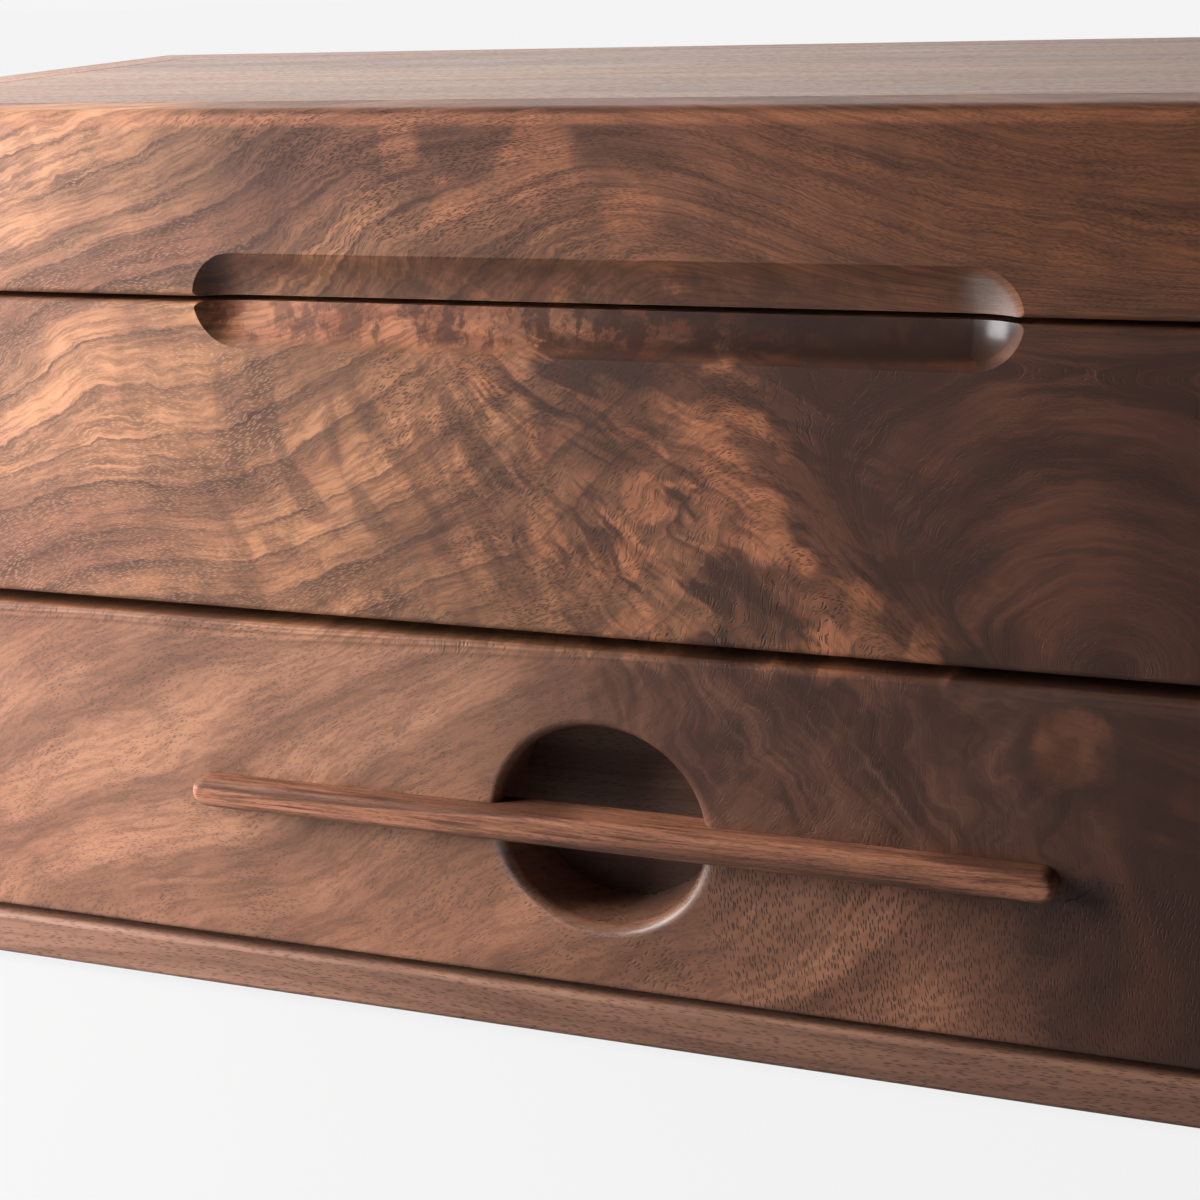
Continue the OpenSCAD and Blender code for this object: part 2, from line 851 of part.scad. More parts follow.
case_front();
case_back();
case_left_side();
case_right_side();
base_panel();
base_screws();
foot_pads();
tray_floor();
tray_lining();
for (i = [1:watch_count - 1]) tray_slat(i);
for (i = [1:watch_count]) watch_cushion(i);
drawer_runner(-1);  // drawer_runner_left
drawer_runner(1);  // drawer_runner_right
runner_screws();
drawer_bumpers();
lid_dots();
hinge_case_leaf(-1);  // hinge_case_leaf_left
hinge_case_leaf(1);  // hinge_case_leaf_right
hinge_pin(-1);  // hinge_pin_left
hinge_pin(1);  // hinge_pin_right
hinge_case_screws();
lid_front_rail();
lid_back_rail();
lid_left_rail();
lid_right_rail();
lid_panel();
lid_lining();
hinge_lid_leaf(-1);  // hinge_lid_leaf_left
hinge_lid_leaf(1);  // hinge_lid_leaf_right
hinge_lid_screws();
drawer_face();
drawer_pull();
drawer_box_front();
drawer_box_back();
drawer_side(-1);  // drawer_left_side
drawer_side(1);  // drawer_right_side
drawer_bottom();
drawer_lining();
drawer_face_screws();
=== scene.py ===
# %% [markdown]
# # A walnut watch box with a drawer
# The box has a framed lid on two brass hinges, a tray with five watch cushions, and a drawer below. Its
# boards, joints and fittings come from the packed model as a fixed frame. This lesson adds what that
# frame lacks: figured wood, leather, suede, felt, brass, light and a camera. Nothing in the frame is
# moved.

# %% Load the frame
import math
from itertools import product
from types import SimpleNamespace

import bmesh
import bpy
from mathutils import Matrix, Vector, noise
from mathutils.bvhtree import BVHTree


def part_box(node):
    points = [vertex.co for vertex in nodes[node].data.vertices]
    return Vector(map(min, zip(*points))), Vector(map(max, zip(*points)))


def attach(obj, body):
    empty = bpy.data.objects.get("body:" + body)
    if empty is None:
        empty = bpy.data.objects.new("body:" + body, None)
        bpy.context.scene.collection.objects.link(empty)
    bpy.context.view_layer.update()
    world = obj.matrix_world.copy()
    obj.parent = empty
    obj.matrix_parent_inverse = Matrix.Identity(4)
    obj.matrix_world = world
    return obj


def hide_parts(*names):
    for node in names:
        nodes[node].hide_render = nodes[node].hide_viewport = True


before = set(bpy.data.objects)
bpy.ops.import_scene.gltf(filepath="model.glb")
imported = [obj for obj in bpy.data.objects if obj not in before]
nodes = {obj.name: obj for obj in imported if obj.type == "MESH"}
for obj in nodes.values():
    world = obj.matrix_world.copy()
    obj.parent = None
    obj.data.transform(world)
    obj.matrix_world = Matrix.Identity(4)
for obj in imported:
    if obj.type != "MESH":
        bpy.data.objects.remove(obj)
scene = bpy.context.scene
MM = 0.001
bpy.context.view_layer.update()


def in_mm(lengths):
    return [round(length / MM, 1) for length in lengths]


# %% [markdown]
# ## Camera
# The view is a close one, from the right of the middle and a little above the lid, so the two ends of
# the box lie outside the picture. A long lens close by would do as well, but the slant of the lines of
# the box fixes the place of the lens, so the camera's numbers are those that make all these lines
# agree.

# %% Camera
camera = bpy.data.objects.new("camera", bpy.data.cameras.new("camera"))
scene.collection.objects.link(camera)
scene.camera = camera
camera.location = (0.09215, -0.32031, 0.16236)
camera.rotation_euler = [math.radians(angle) for angle in (71.683, 1.986, 18.964)]
camera.data.sensor_width = 36
camera.data.lens = 60.355
camera.data.clip_start = 0.01

# %% [markdown]
# ## Shader maths in Python
# A finish such as figured walnut takes a few dozen Math nodes, and laying them out one by one is slow
# to write and hard to read. Instead, a small class wraps one output socket. Adding or multiplying two
# of these adds the Math node that does it, so a formula for growth rings can be read as a formula.
# Every other kind of node comes from one method, which takes the node's type, its settings and then its
# inputs.

# %% A socket that can be used in sums
class Wire:
    """One output socket of a node tree."""

    def __init__(self, tree, socket=None):
        self.tree = tree
        self.socket = socket

    def node(self, kind, settings=None, inputs=None, output=0):
        """A new node: its settings first, then the values or wires of its sockets."""
        made = self.tree.nodes.new(kind)
        for name, value in (settings or {}).items():
            setattr(made, name, value)
        for name, value in (inputs or {}).items():
            if isinstance(value, Wire):
                self.tree.links.new(value.socket, made.inputs[name])
            else:
                made.inputs[name].default_value = value
        return Wire(self.tree, made.outputs[output] if made.outputs else None)

    def beside(self, output):
        """Another output of the same node."""
        return Wire(self.tree, self.socket.node.outputs[output])

    def math(self, operation, *values):
        return self.node("ShaderNodeMath", {"operation": operation}, dict(enumerate(values)))

    def __add__(self, other):
        return self.math("ADD", self, other)

    def __sub__(self, other):
        return self.math("SUBTRACT", self, other)

    def __rsub__(self, other):
        return self.math("SUBTRACT", other, self)

    def __mul__(self, other):
        return self.math("MULTIPLY", self, other)

    def __truediv__(self, other):
        return self.math("DIVIDE", self, other)

    def __abs__(self):
        return self.math("ABSOLUTE", self)

    __radd__ = __add__
    __rmul__ = __mul__


print("The sums that a wire takes:", [n for n in vars(Wire) if n.startswith("__") and n != "__init__"])

# %% [markdown]
# ## Helpers for finishes
# Wood, leather and brass are all made from a few steps: where a point lies on the box in millimetres, a
# noise that may be stretched, a soft step, and a mix of two colours. The points come from Object
# coordinates. Each piece of the frame sits at the origin, so these are places on the whole box, and the
# figure of the wood can run on from the lid to the case and the drawer, as it does on boards from one
# plank. A finish is then a recipe: a function from a place on the box to what feeds the shader.

# %% Steps that the finishes share
def coordinate(point, axis):
    """The X, Y or Z of a point."""
    return point.node("ShaderNodeSeparateXYZ", inputs={"Vector": point}, output=axis)


def places(wire):
    """The x, y and z of a point of the box, in millimetres."""
    point = wire.node("ShaderNodeTexCoord", output="Object")
    return [coordinate(point, axis) * 1000 for axis in "XYZ"]


def cloud(x, y, z, detail=2.0, rough=0.5):
    """A noise of about one lump to a unit, around 0.5."""
    wire = next(c for c in (x, y, z) if isinstance(c, Wire))
    point = wire.node("ShaderNodeCombineXYZ", inputs={"X": x, "Y": y, "Z": z})
    inputs = {"Vector": point, "Scale": 1.0, "Detail": detail, "Roughness": rough}
    return wire.node("ShaderNodeTexNoise", inputs=inputs)


def fade(wire, start, end):
    """A soft step from 0 at start to 1 at end, which may be the lower one."""
    return wire.node(
        "ShaderNodeMapRange",
        {"interpolation_type": "SMOOTHSTEP"},
        {"Value": wire, "From Min": start, "From Max": end},
    )


def root(wire):
    return wire.math("SQRT", wire)


def most(a, b):
    """The larger of a wire and another wire or number."""
    return a.math("MAXIMUM", a, b)


def blend(share, a, b):
    """Between two numbers or wires, by a share from 0 to 1."""
    return a + share * (b - a)


def tint(share, a, b):
    """Between two colours, by a share from 0 to 1. A colour is a wire or a red, green and blue."""
    colours = [c if isinstance(c, Wire) else (*c, 1) for c in (a, b)]
    return share.node(
        "ShaderNodeMix",
        {"data_type": "RGBA"},
        {0: share, 6: colours[0], 7: colours[1]},
        output=2,
    )


def feeds(colour, roughness, height=None, depth=0):
    """What a recipe leads to the shader. Depth is in millimetres."""
    fed = {"Base Color": colour, "Roughness": roughness}
    if height is not None:
        inputs = {"Strength": 1.0, "Distance": depth * MM, "Height": height}
        fed["Normal"] = height.node("ShaderNodeBump", inputs=inputs)
    return fed


def finish(name, recipe, **fixed):
    """A new material whose one shader is fed by a recipe. Fixed values are set on its own sockets."""
    material = bpy.data.materials.new(name)
    material.use_nodes = True
    tree = material.node_tree
    inputs = tree.nodes["Principled BSDF"].inputs
    for socket, value in fixed.items():
        inputs[socket.replace("_", " ")].default_value = value
    for socket, wire in recipe(*places(Wire(tree))).items():
        tree.links.new(wire.socket, inputs[socket])
    return material


def dress(material, *names):
    """Gives pieces of the frame a finish in place of their own."""
    for name in names:
        nodes[name].data.materials.clear()
        nodes[name].data.materials.append(material)


def shade_smooth(mesh):
    mesh.polygons.foreach_set("use_smooth", [True] * len(mesh.polygons))


print("Helpers ready: places, cloud, fade, root, most, blend, tint, feeds, finish, dress, shade_smooth")

# %% [markdown]
# ## Floor and surroundings
# The box stands on a plain pale floor before a pale background. The floor could be lit until it is
# white, but that would flood the box with light. Instead, what looks straight at the floor or the sky,
# or sees them mirrored in a polished face, finds a pale grey, a little dimmer near the box. All other
# light from them is soft and dim. A share of the floor stays an ordinary surface, which keeps the
# shadow of the box. In front of the box the floor is mirrored less towards the right, as when a
# photographer lays a dark cloth there to keep haze off the wood.

# %% Floor and surroundings
PALE = 0.913
PALE_FLOOR = 1.02
NEAR_DIM = 0.955
NEAR = 0.25
FAR = 1.2
SHADOW_SHARE = 0.12
STUDIO_DIM = 0.03
STUDIO_BACK = 0.5
STUDIO_RIGHT = 0.55
STUDIO_LEFT = 1.2
FLOOR_GREY = 0.2
FRONT_FLAG = 0.93


def bare(block):
    """An empty node tree for a material or a world."""
    block.use_nodes = True
    block.node_tree.nodes.clear()
    return Wire(block.node_tree)


def seen_directly(wire):
    """1 for what the camera sees, straight or by a mirror or through glass."""
    kinds = ("Camera", "Glossy", "Transmission")
    rays = [wire.node("ShaderNodeLightPath", output=f"Is {kind} Ray") for kind in kinds]
    return most(most(rays[0], rays[1]), rays[2])


def pale_floor():
    material = bpy.data.materials.new("pale floor")
    wire = bare(material)
    place = wire.node("ShaderNodeTexCoord", output="Object")
    plain = wire.node("ShaderNodeBsdfDiffuse", inputs={"Color": (FLOOR_GREY, FLOOR_GREY, FLOOR_GREY, 1)})
    distance = wire.node("ShaderNodeVectorMath", {"operation": "LENGTH"}, {0: place}, "Value")
    white = tint(fade(distance, NEAR, FAR), (NEAR_DIM, NEAR_DIM, NEAR_DIM), (1, 1, 1))
    glow = wire.node("ShaderNodeEmission", inputs={"Color": white, "Strength": PALE_FLOOR})
    glossy = wire.node("ShaderNodeLightPath", output="Is Glossy Ray")
    ahead = fade(coordinate(place, "Y"), 0.0, -0.1) * fade(coordinate(place, "X"), -0.3, 0.0)
    share = seen_directly(wire) * (1 - SHADOW_SHARE) * (1 - glossy * ahead * FRONT_FLAG)
    both = wire.node("ShaderNodeMixShader", inputs={0: share, 1: plain, 2: glow})
    wire.node("ShaderNodeOutputMaterial", inputs={"Surface": both})
    return material


def pale_studio():
    world = bpy.data.worlds.new("pale studio")
    wire = bare(world)
    towards = wire.node("ShaderNodeTexCoord", output="Generated")
    back = fade(coordinate(towards, "Y"), -0.15, 0.55)
    leftward = fade(coordinate(towards, "X"), 0.1, -0.6)
    mirrored = blend(seen_directly(wire), STUDIO_BACK, blend(leftward, STUDIO_RIGHT, STUDIO_LEFT))
    camera_ray = wire.node("ShaderNodeLightPath", output="Is Camera Ray")
    strength = blend(camera_ray, blend(back, STUDIO_DIM, mirrored), PALE)
    glow = wire.node("ShaderNodeBackground", inputs={"Color": (1, 1, 1, 1), "Strength": strength})
    wire.node("ShaderNodeOutputWorld", inputs={"Surface": glow})
    return world


floor_mesh = bpy.data.meshes.new("floor")
disc = bmesh.new()
bmesh.ops.create_circle(disc, cap_ends=True, segments=96, radius=6)
disc.to_mesh(floor_mesh)
disc.free()
floor = bpy.data.objects.new("floor", floor_mesh)
scene.collection.objects.link(floor)
floor_mesh.materials.append(pale_floor())
scene.world = pale_studio()
scene.view_settings.view_transform = "Standard"
print("The floor is", [round(s, 1) for s in floor.dimensions[:2]], "m across")

# %% [markdown]
# ## Light
# The key light is a soft box close by on the left, so it rakes over the front: the left end is bright,
# the right end falls dark, and the pores of the wood catch the light. A wide lamp far away would be
# even, and would flatten the wood. So close a lamp would also mirror itself as a white patch in the
# oil, so it is kept out of reflections. A dimmer copy of it gives the glints on polished edges, and a
# larger lamp at the front left gives the sheen, and neither does anything else. A small lamp above the
# left of the front skims over it, and lights most what faces up: the bar, the lower half of the finger
# slot and the base. Two lamps stand behind the front and above. They light the top, the back and the
# right side, and leave the front alone.

# %% Lamps
def soft_box(name, place, aim, width, height, power, spread=180):
    data = bpy.data.lights.new(name, "AREA")
    data.shape = "RECTANGLE"
    data.size = width
    data.size_y = height
    data.energy = power
    data.spread = math.radians(spread)
    lamp = bpy.data.objects.new(name, data)
    scene.collection.objects.link(lamp)
    lamp.location = place
    lamp.rotation_euler = (Vector(aim) - Vector(place)).to_track_quat("-Z", "Y").to_euler()
    print(name, "stands", round((Vector(aim) - Vector(place)).length, 2), "m away")
    return lamp


KEY = ((-0.30, -0.165, 0.15), (-0.04, -0.066, 0.07), 0.15, 0.23)
key = soft_box("key light", *KEY, 3.8)
key.visible_glossy = False
glint = soft_box("glint light", *KEY, 1.2)
glint.visible_diffuse = False
sheen = soft_box("sheen light", (-0.60, -0.66, 0.12), (-0.07, -0.066, 0.07), 0.5, 0.5, 1.9)
sheen.visible_diffuse = False
skim = soft_box("skim light", (-0.24, -0.086, 0.30), (-0.05, -0.07, 0.03), 0.12, 0.12, 0.85)
skim.visible_glossy = False
soft_box("back light", (0.70, 0.60, 1.0), (0, 0.05, 0.07), 1.1, 1.1, 3, 90)
soft_box("top light", (-0.1, 0.55, 1.0), (0, 0.08, 0.1), 1.2, 0.8, 0.8, 60)

# %% [markdown]
# ## Figured walnut of the front
# The lid front, the case front and the drawer face are cut from one plank, at a place where a branch
# grew out of the trunk. Growth rings rise from the left to a slanting spine and fall away on its right,
# and the wood beside the spine is crowded with feathers of dark and orange. A picture of wood could be
# laid on, but a formula has no seams and no edges. So the figure is built in the order in which a tree
# makes it: the spine, the rings around it, the feathers across them and the pores along them.

# %% Growth of the front plank
SPINE_X = 20
SPINE_Z = 113
SPINE_BEND = 0.012
SPINE_LEAN = 0.75
RING_SLOPE = 0.25
RING_LIFT = 0.8
RING_LIFT_REACH = 28
RING_STEP = 6.2
DRAWER_RING_STEP = 11
EYE_X = 72
EYE_Z = 68


def above_drawer(z):
    """0 on the drawer and 1 above it."""
    return fade(z, 62, 68)


def on_lid(z):
    """0 below the lid and 1 on it."""
    return fade(z, 112, 118)


def spine_distance(x, z, sway, jag):
    """How far a point lies to the right of the spine, which bends to the right as it goes down."""
    below = most(SPINE_Z - z, 0)
    above = most(z - SPINE_Z, 0)
    spine = SPINE_X + below * below * SPINE_BEND - above * SPINE_LEAN
    return x - spine - sway * 8 - jag, above


def growth_field(x, y, z):
    """A height that is the same along one growth ring, ragged and smooth, and distances from the spine."""
    sway = cloud(x / 70, y / 80, z / 48, 1) - 0.5
    wobble = cloud(x / 9, y / 30, z / 6, 2) - 0.5
    jag = cloud(x / 2.4, y / 9, z / 2.0, 2) - 0.5
    aside, above = spine_distance(x, z, sway, jag * 2)
    corner = 5 + above * 0.9
    reach = root(aside * aside + corner * corner)
    near = reach * (-1 / RING_LIFT_REACH)
    lift = (1 - near.math("EXPONENT", near)) * (RING_LIFT * RING_LIFT_REACH)
    arch = z + reach * RING_SLOPE + lift
    eye_x = (x - EYE_X) * 0.8
    eye_z = z - EYE_Z
    eye = 150 - root(eye_x * eye_x + eye_z * eye_z)
    lively = above_drawer(z)
    smoky = fade(aside, 0, 16) * fade(z, 122, 106) * lively
    ragged = jag * blend(lively, 0.2, 0.6)
    waves = sway * blend(lively, 12, 26) + wobble * blend(lively, 0.9, 2.6) + ragged
    growth = blend(smoky, arch, eye) + waves
    return growth, growth - ragged, aside, sway, aside - wobble * 13 - jag * 3


print("Rings of the front stand about", RING_STEP, "mm apart, and", DRAWER_RING_STEP, "on the drawer")

# %% [markdown]
# The rings darken towards the end of each year and stop at a thin dark line. Across them lie soft bars,
# where the fibres dip in and out of the face, and near the spine feathers, which fan out from one
# point.

# %% Rings, feathers and heartwood of the front plank
FAN_X = -35
FAN_Z = 122


def ring_shade(growth, x, above):
    """Soft dark at the end of each ring, and a thin line where the next starts. Softer on the drawer."""
    uneven = cloud(growth / 22, 0.5, 0.5, 2) * 3.4
    count = growth / blend(above, DRAWER_RING_STEP, RING_STEP) + uneven
    turn = count.math("FRACT", count)
    darker = fade(turn, blend(above, 0.15, 0.35), blend(above, 0.70, 0.95))
    soft = darker * fade(turn, 1.0, blend(above, 0.66, 0.97))
    line = fade(turn, 0.90, 0.945) * fade(turn, 1.0, 0.98)
    broken = fade(cloud(x / 16, growth / 7, 0.7, 2), 0.36, 0.56)
    return soft, line * broken


def feathers(x, y, z, sway):
    """Streaks that fan out from one point, broad and fine, shards of light between them, and wisps."""
    away_x = x - FAN_X
    away_z = z - FAN_Z
    bent = cloud(x / 10, y / 40, z / 10, 2) - 0.5
    turn = away_z.math("ARCTAN2", away_z, away_x) + sway * 0.5 + bent * 0.1
    reach = root(away_x * away_x + away_z * away_z)
    start = fade(reach, 14, 34)
    broad = fade(cloud(turn * 12, reach / 17, y / 40, 3, 0.6), 0.45, 0.56) * start
    fine = fade(cloud(turn * 36, reach / 9, y / 40, 3), 0.48, 0.66) * start
    shards = fade(cloud(turn * 9, reach / 10, y / 40 + 5, 3), 0.50, 0.57)
    wisps = fade(cloud(turn * 34, reach / 26, y / 40 + 9, 4, 0.65), 0.38, 0.70)
    return broad, fine, shards, wisps


def dusk(x, z, edge):
    """The dark heartwood: right of the spine, and on the drawer above and right of the pocket."""
    on_case = fade(edge, -2.5, blend(fade(z, 100, 84), 8.0, 14.0)) * fade(z, 116, 110) * fade(z, 58, 66)
    above_pocket = fade(x - z * 0.4, -50, -6) * fade(z, 33, 46)
    beyond = fade(x + z * 0.2, 50, 71)
    on_drawer = most(above_pocket, beyond) * fade(z, 68, 62)
    return most(on_drawer, on_case)


print("Feathers fan out from", (FAN_X, FAN_Z), "mm")

# %% [markdown]
# The colours ask many things about a point: how far it is from the spine, how dark the heart is there,
# or whether it lies in the finger slot. All of that is worked out once and kept under plain names.

# %% Where a point lies in the front plank
FRONT_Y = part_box("case_front")[0].y / MM
RING_TILT = 0.5
SLOT_HALF = 60
SLOT_FOOT = 105
SLOT_TOP = 124


def finger_groove(x, y, z):
    """1 in the hollow of the finger slot."""
    deep = fade(y, FRONT_Y + 0.2, FRONT_Y + 1.4) * fade(y, FRONT_Y + 3.5, FRONT_Y + 3.1)
    high = fade(z, SLOT_TOP, SLOT_TOP - 1.5) * fade(z, SLOT_FOOT, SLOT_FOOT + 2)
    return deep * fade(abs(x), SLOT_HALF + 1, SLOT_HALF) * high


def plank_at(x, y, true_z):
    """All that the colours of the front ask about a point. Its z follows the rings as they tilt."""
    z = true_z + (y - FRONT_Y) * RING_TILT
    growth, smooth, aside, sway, edge = growth_field(x, y, z)
    above = above_drawer(z)
    soft, line = ring_shade(growth, x, above)
    broad, fine, shards, wisps = feathers(x, y, z, sway)
    return SimpleNamespace(
        x=x, y=y, z=z, true_z=true_z,
        growth=growth, smooth=smooth, aside=aside, sway=sway, edge=edge,
        broad=broad, fine=fine, shards=shards, wisps=wisps,
        above=above, lid=on_lid(z), soft=soft, line=line,
        dark=dusk(x, z, edge),
        jag=cloud(x / 5, y / 20, z / 5, 3) - 0.5,
        beside=fade(aside, -66, -22) * fade(aside, 40, 6) * fade(z, 34, 48) * fade(z, 126, 110),
        groove=finger_groove(x, y, true_z),
    )


print("The front lies at", round(FRONT_Y, 2), "mm, and the slot is", 2 * SLOT_HALF, "mm long")

# %% [markdown]
# The colours are those of oiled walnut: gold where the light goes along the fibres, brown and almost
# black where it meets their ends, and orange in the flame beside the spine. They are laid on one after
# another, each by its own share, as a painter glazes a picture. First come the ground and the dark
# heart.

# %% Ground and heartwood
GOLD = (0.45, 0.196, 0.092)
ROSE = (0.375, 0.175, 0.102)
BLUSH = (0.44, 0.190, 0.112)
BROWN = (0.176, 0.067, 0.036)
HONEY = (0.205, 0.077, 0.034)
SMOKE = (0.041, 0.0172, 0.0112)
EMBER = (0.41, 0.152, 0.071)
RUST = (0.142, 0.054, 0.032)
UMBER = (0.176, 0.077, 0.050)
INK = (0.030, 0.016, 0.012)
# A painted glint colour for pores that catch the raking light
PORE_GLINT = (0.52, 0.295, 0.175)
# Painted shade for the slot's hollow and its dark flecks, and near black for the right of its lower half
SHADE_AND_FLECK = (0.046, 0.019, 0.012)
NEAR_BLACK = (0.018, 0.007, 0.004)
CHERRY = (0.20, 0.062, 0.028)


def ground(at):
    """Gold and brown in broad bands, browner towards the spine, and paler at the foot of the drawer."""
    bands = cloud(at.growth / 19, at.x / 120, 0.3, 2)
    banded = fade(bands, 0.35, 0.68) * blend(at.above, 0.75, 1.0)
    colour = tint(banded, tint(at.above, ROSE, GOLD), BROWN)
    colour = tint(fade(at.aside, -60, 6) * 0.88, colour, BROWN)
    colour = tint(fade(at.x, 5, 70) * fade(at.z, 110, 118) * 0.8, colour, HONEY)
    return tint(fade(at.z, 38, 20) * 0.42, colour, BLUSH)


def heartwood(at, colour):
    """The dark heart with rusty rings in it, and smoky clouds over all of the front."""
    arcs = cloud(at.growth / 7, at.x / 50, at.y / 60, 4, 0.65)
    hairs = cloud(at.growth / 1.5, at.x / 34, at.y / 60, 4, 0.7)
    shade = cloud(at.x / 36, at.y / 60, at.growth / 15, 2)
    mottled = blend(at.lid, 0.5, blend(fade(at.x, -80, -50), 0.36, 0.56))
    mottled = blend(at.above, 0.24, mottled) * (1 - fade(at.x, 15, 45) * at.lid * 0.65)
    colour = tint(at.dark * 0.97, colour, SMOKE)
    colour = tint(fade(arcs, 0.42, 0.60) * at.dark * blend(at.above, 0.4, 0.8), colour, RUST)
    colour = tint(fade(hairs, 0.50, 0.68) * at.dark * at.above * 0.6, colour, RUST)
    return tint(fade(shade, 0.44, 0.62) * mottled, colour, SMOKE)


print("The front goes from", GOLD, "through", BROWN, "to", SMOKE)

# %% [markdown]
# Then come burls and spots, which are single places, and the feathers. On the drawer these are pale
# wisps in the dark heart. The flame, the bars and the rings go over them.

# %% Spots, feathers and rings
LID_BURLS = (((-25, 137), 5), ((-18, 128), 4), ((-6, 134), 7), ((8, 127), 5))
KNOT = ((67, 57), 7)
SHADE = ((-94, 70), 22)
PATCH = ((3, 100), 13)


def spot(at, place, reach):
    """1 in the middle of an uneven spot, 0 outside."""
    off_x = at.x - place[0]
    off_z = at.z - place[1]
    return fade(root(off_x * off_x + off_z * off_z) + at.jag * 9, reach, reach * 0.45)


def spots_and_feathers(at, colour):
    colour = tint(at.shards * at.beside * (1 - at.dark) * 0.85, colour, EMBER)
    colour = tint(spot(at, *SHADE) * 0.5, colour, BROWN)
    for place, reach in LID_BURLS:
        colour = tint(spot(at, place, reach) * 0.6, colour, EMBER)
    colour = tint(spot(at, *PATCH) * 0.55, colour, SMOKE)
    colour = tint(at.broad * at.beside * 0.9, colour, SMOKE)
    wispy = at.dark * (1 - at.above) * fade(at.x, 80, 54)
    colour = tint(at.shards * wispy * 0.35, colour, UMBER)
    colour = tint(at.wisps * wispy * 0.68, colour, UMBER)
    colour = tint((1 - at.wisps) * wispy * blend(at.broad, 0.2, 0.65), colour, SMOKE)
    colour = tint(spot(at, KNOT[0], KNOT[1] * 1.5) * 0.7, colour, INK)
    return tint(spot(at, *KNOT) * 0.8, colour, BROWN)


def flame_and_bars(at, colour):
    flame = fade(at.edge, -13, -4) * fade(at.edge, 3.5, -0.5) * fade(at.z, 66, 82) * fade(at.z, 116, 108)
    flame = flame * blend(fade(cloud(at.x / 9, at.y / 40, at.z / 6, 2), 0.42, 0.56), 0.2, 1.0)
    colour = tint(flame * 0.85, colour, EMBER)
    colour = tint(at.fine * at.beside * 0.55, colour, SMOKE)
    bars = cloud((at.x + at.z * 0.3 + at.sway * 16) / 5, at.growth / 12, at.y / 60, 3)
    barred = fade(at.x, -75, -45) * fade(at.x, 12, -8) * fade(at.z, 112, 100)
    barred = fade(bars, 0.45, 0.62) * at.above * blend(barred, 0.20, 0.5)
    return tint(barred * (1 - at.dark * 0.6), colour, SMOKE)


def rings(at, colour):
    streaks = cloud(at.growth / 1.7, at.x / 26, at.y / 40, 4, 0.7)
    streaky = blend(at.lid, blend(at.above, 0.24, 0.44), 0.62) * (1 - at.beside * 0.65)
    colour = tint(fade(streaks, 0.46, 0.66) * streaky, colour, SMOKE)
    plain_lid = 1 - fade(at.aside, -45, -10) * at.lid * 0.6
    calm = (1 - at.dark * 0.75) * (1 - at.beside * 0.55) * plain_lid
    colour = tint(at.soft * calm * blend(at.above, 0.45, 0.4), colour, SMOKE)
    drawn = most(calm, at.beside * (1 - at.dark))
    return tint(at.line * drawn * blend(at.above, 0.05, 0.42), colour, INK)


print("Spots on the front:", len(LID_BURLS) + 3)

# %% [markdown]
# Last comes the finger slot. The upper half of its hollow, which faces down, is painted darker as
# painted shade. The lower half goes from orange on the left, through red and dark flecks, to almost
# black on the right. A painted orange highlight lies along the rounded top edge of the lid.

# %% Finger slot and the whole colour
LID_SEAM = 114.4


def slot_shade_and_flecks(at, colour):
    lower = at.groove * fade(at.true_z, LID_SEAM, LID_SEAM - 0.4)
    upper = at.groove - lower
    red = fade(cloud(at.x / 7, 0.5, at.true_z / 2.4, 3), 0.47, 0.60)
    black = fade(cloud(at.x / 3.6, 1.5, at.true_z / 5, 4, 0.7), 0.45, 0.56)
    # The upper half, which faces down, is painted darker: painted shade in the hollow, broken up by noise.
    colour = tint(upper * blend(black, 0.30, 0.62) * blend(fade(at.x, 5, 45), 1.0, 0.55), colour, SHADE_AND_FLECK)
    colour = tint(lower * fade(at.x, 10, -30) * 0.65, colour, EMBER)
    colour = tint(lower * red * 0.85, colour, CHERRY)
    # Dark flecks in the lower half, which is painted almost black towards the right.
    colour = tint(lower * black * blend(fade(at.x, -50, -10), 0.55, 0.85), colour, SHADE_AND_FLECK)
    return tint(lower * fade(at.x, -30, 35) * 0.88, colour, NEAR_BLACK)


# A painted orange highlight along the rounded top edge of the lid front, where the round turns up to the
# light.
def arris_highlight(at, colour):
    return tint(fade(at.true_z, 138.3, 139.2) * fade(at.true_z, 140.6, 139.9) * 0.5, colour, EMBER)


LAYERS = (heartwood, spots_and_feathers, flame_and_bars, rings, slot_shade_and_flecks, arris_highlight)


def figured_colour(at):
    colour = ground(at)
    for layer in LAYERS:
        colour = layer(at, colour)
    return colour


print("Layers over the ground:", [layer.__name__ for layer in LAYERS])

# %% [markdown]
# Pores are the cut ends of the vessels of the wood. On walnut they show as fine dashes along the rings.
# Noise with a threshold would give worms of all lengths. A pattern of cells, stretched along the grain,
# gives one dash to each cell, as even in size as real ones. They are painted dark for the most part.
# On the far left, above the drawer, they are painted pale: a painted glint of the raking light on their
# walls. They are also pressed into the surface, so that raking light glints on their far edges.

# %% Pores and the finished front
PORE_WIDTH = 0.19
PORE_LENGTH = 1.1
STEEP_PORES = 1.5
POCKET_Z = 37.2
POCKET_R = 16
CRACK_X = 67.5
CRACK_Z = 34.4
CRACK_LENGTH = 4.8
CRACK_LEAN = math.radians(32)


def pores_along(across, deep, along, width, length, empty=0.0):
    """Short dashes along the grain: one to each cell, with a share of the cells left empty."""
    sides = {"X": across / width, "Y": along / length, "Z": deep / width}
    point = across.node("ShaderNodeCombineXYZ", inputs=sides)
    settings = {"voronoi_dimensions": "3D" if isinstance(deep, Wire) else "2D"}
    middle = across.node("ShaderNodeTexVoronoi", settings, {"Vector": point, "Scale": 1.0}, "Distance")
    chance = across.node("ShaderNodeSeparateColor", inputs={"Color": middle.beside("Color")})
    return fade(middle, 0.36, 0.20) * chance.math("GREATER_THAN", chance, empty)


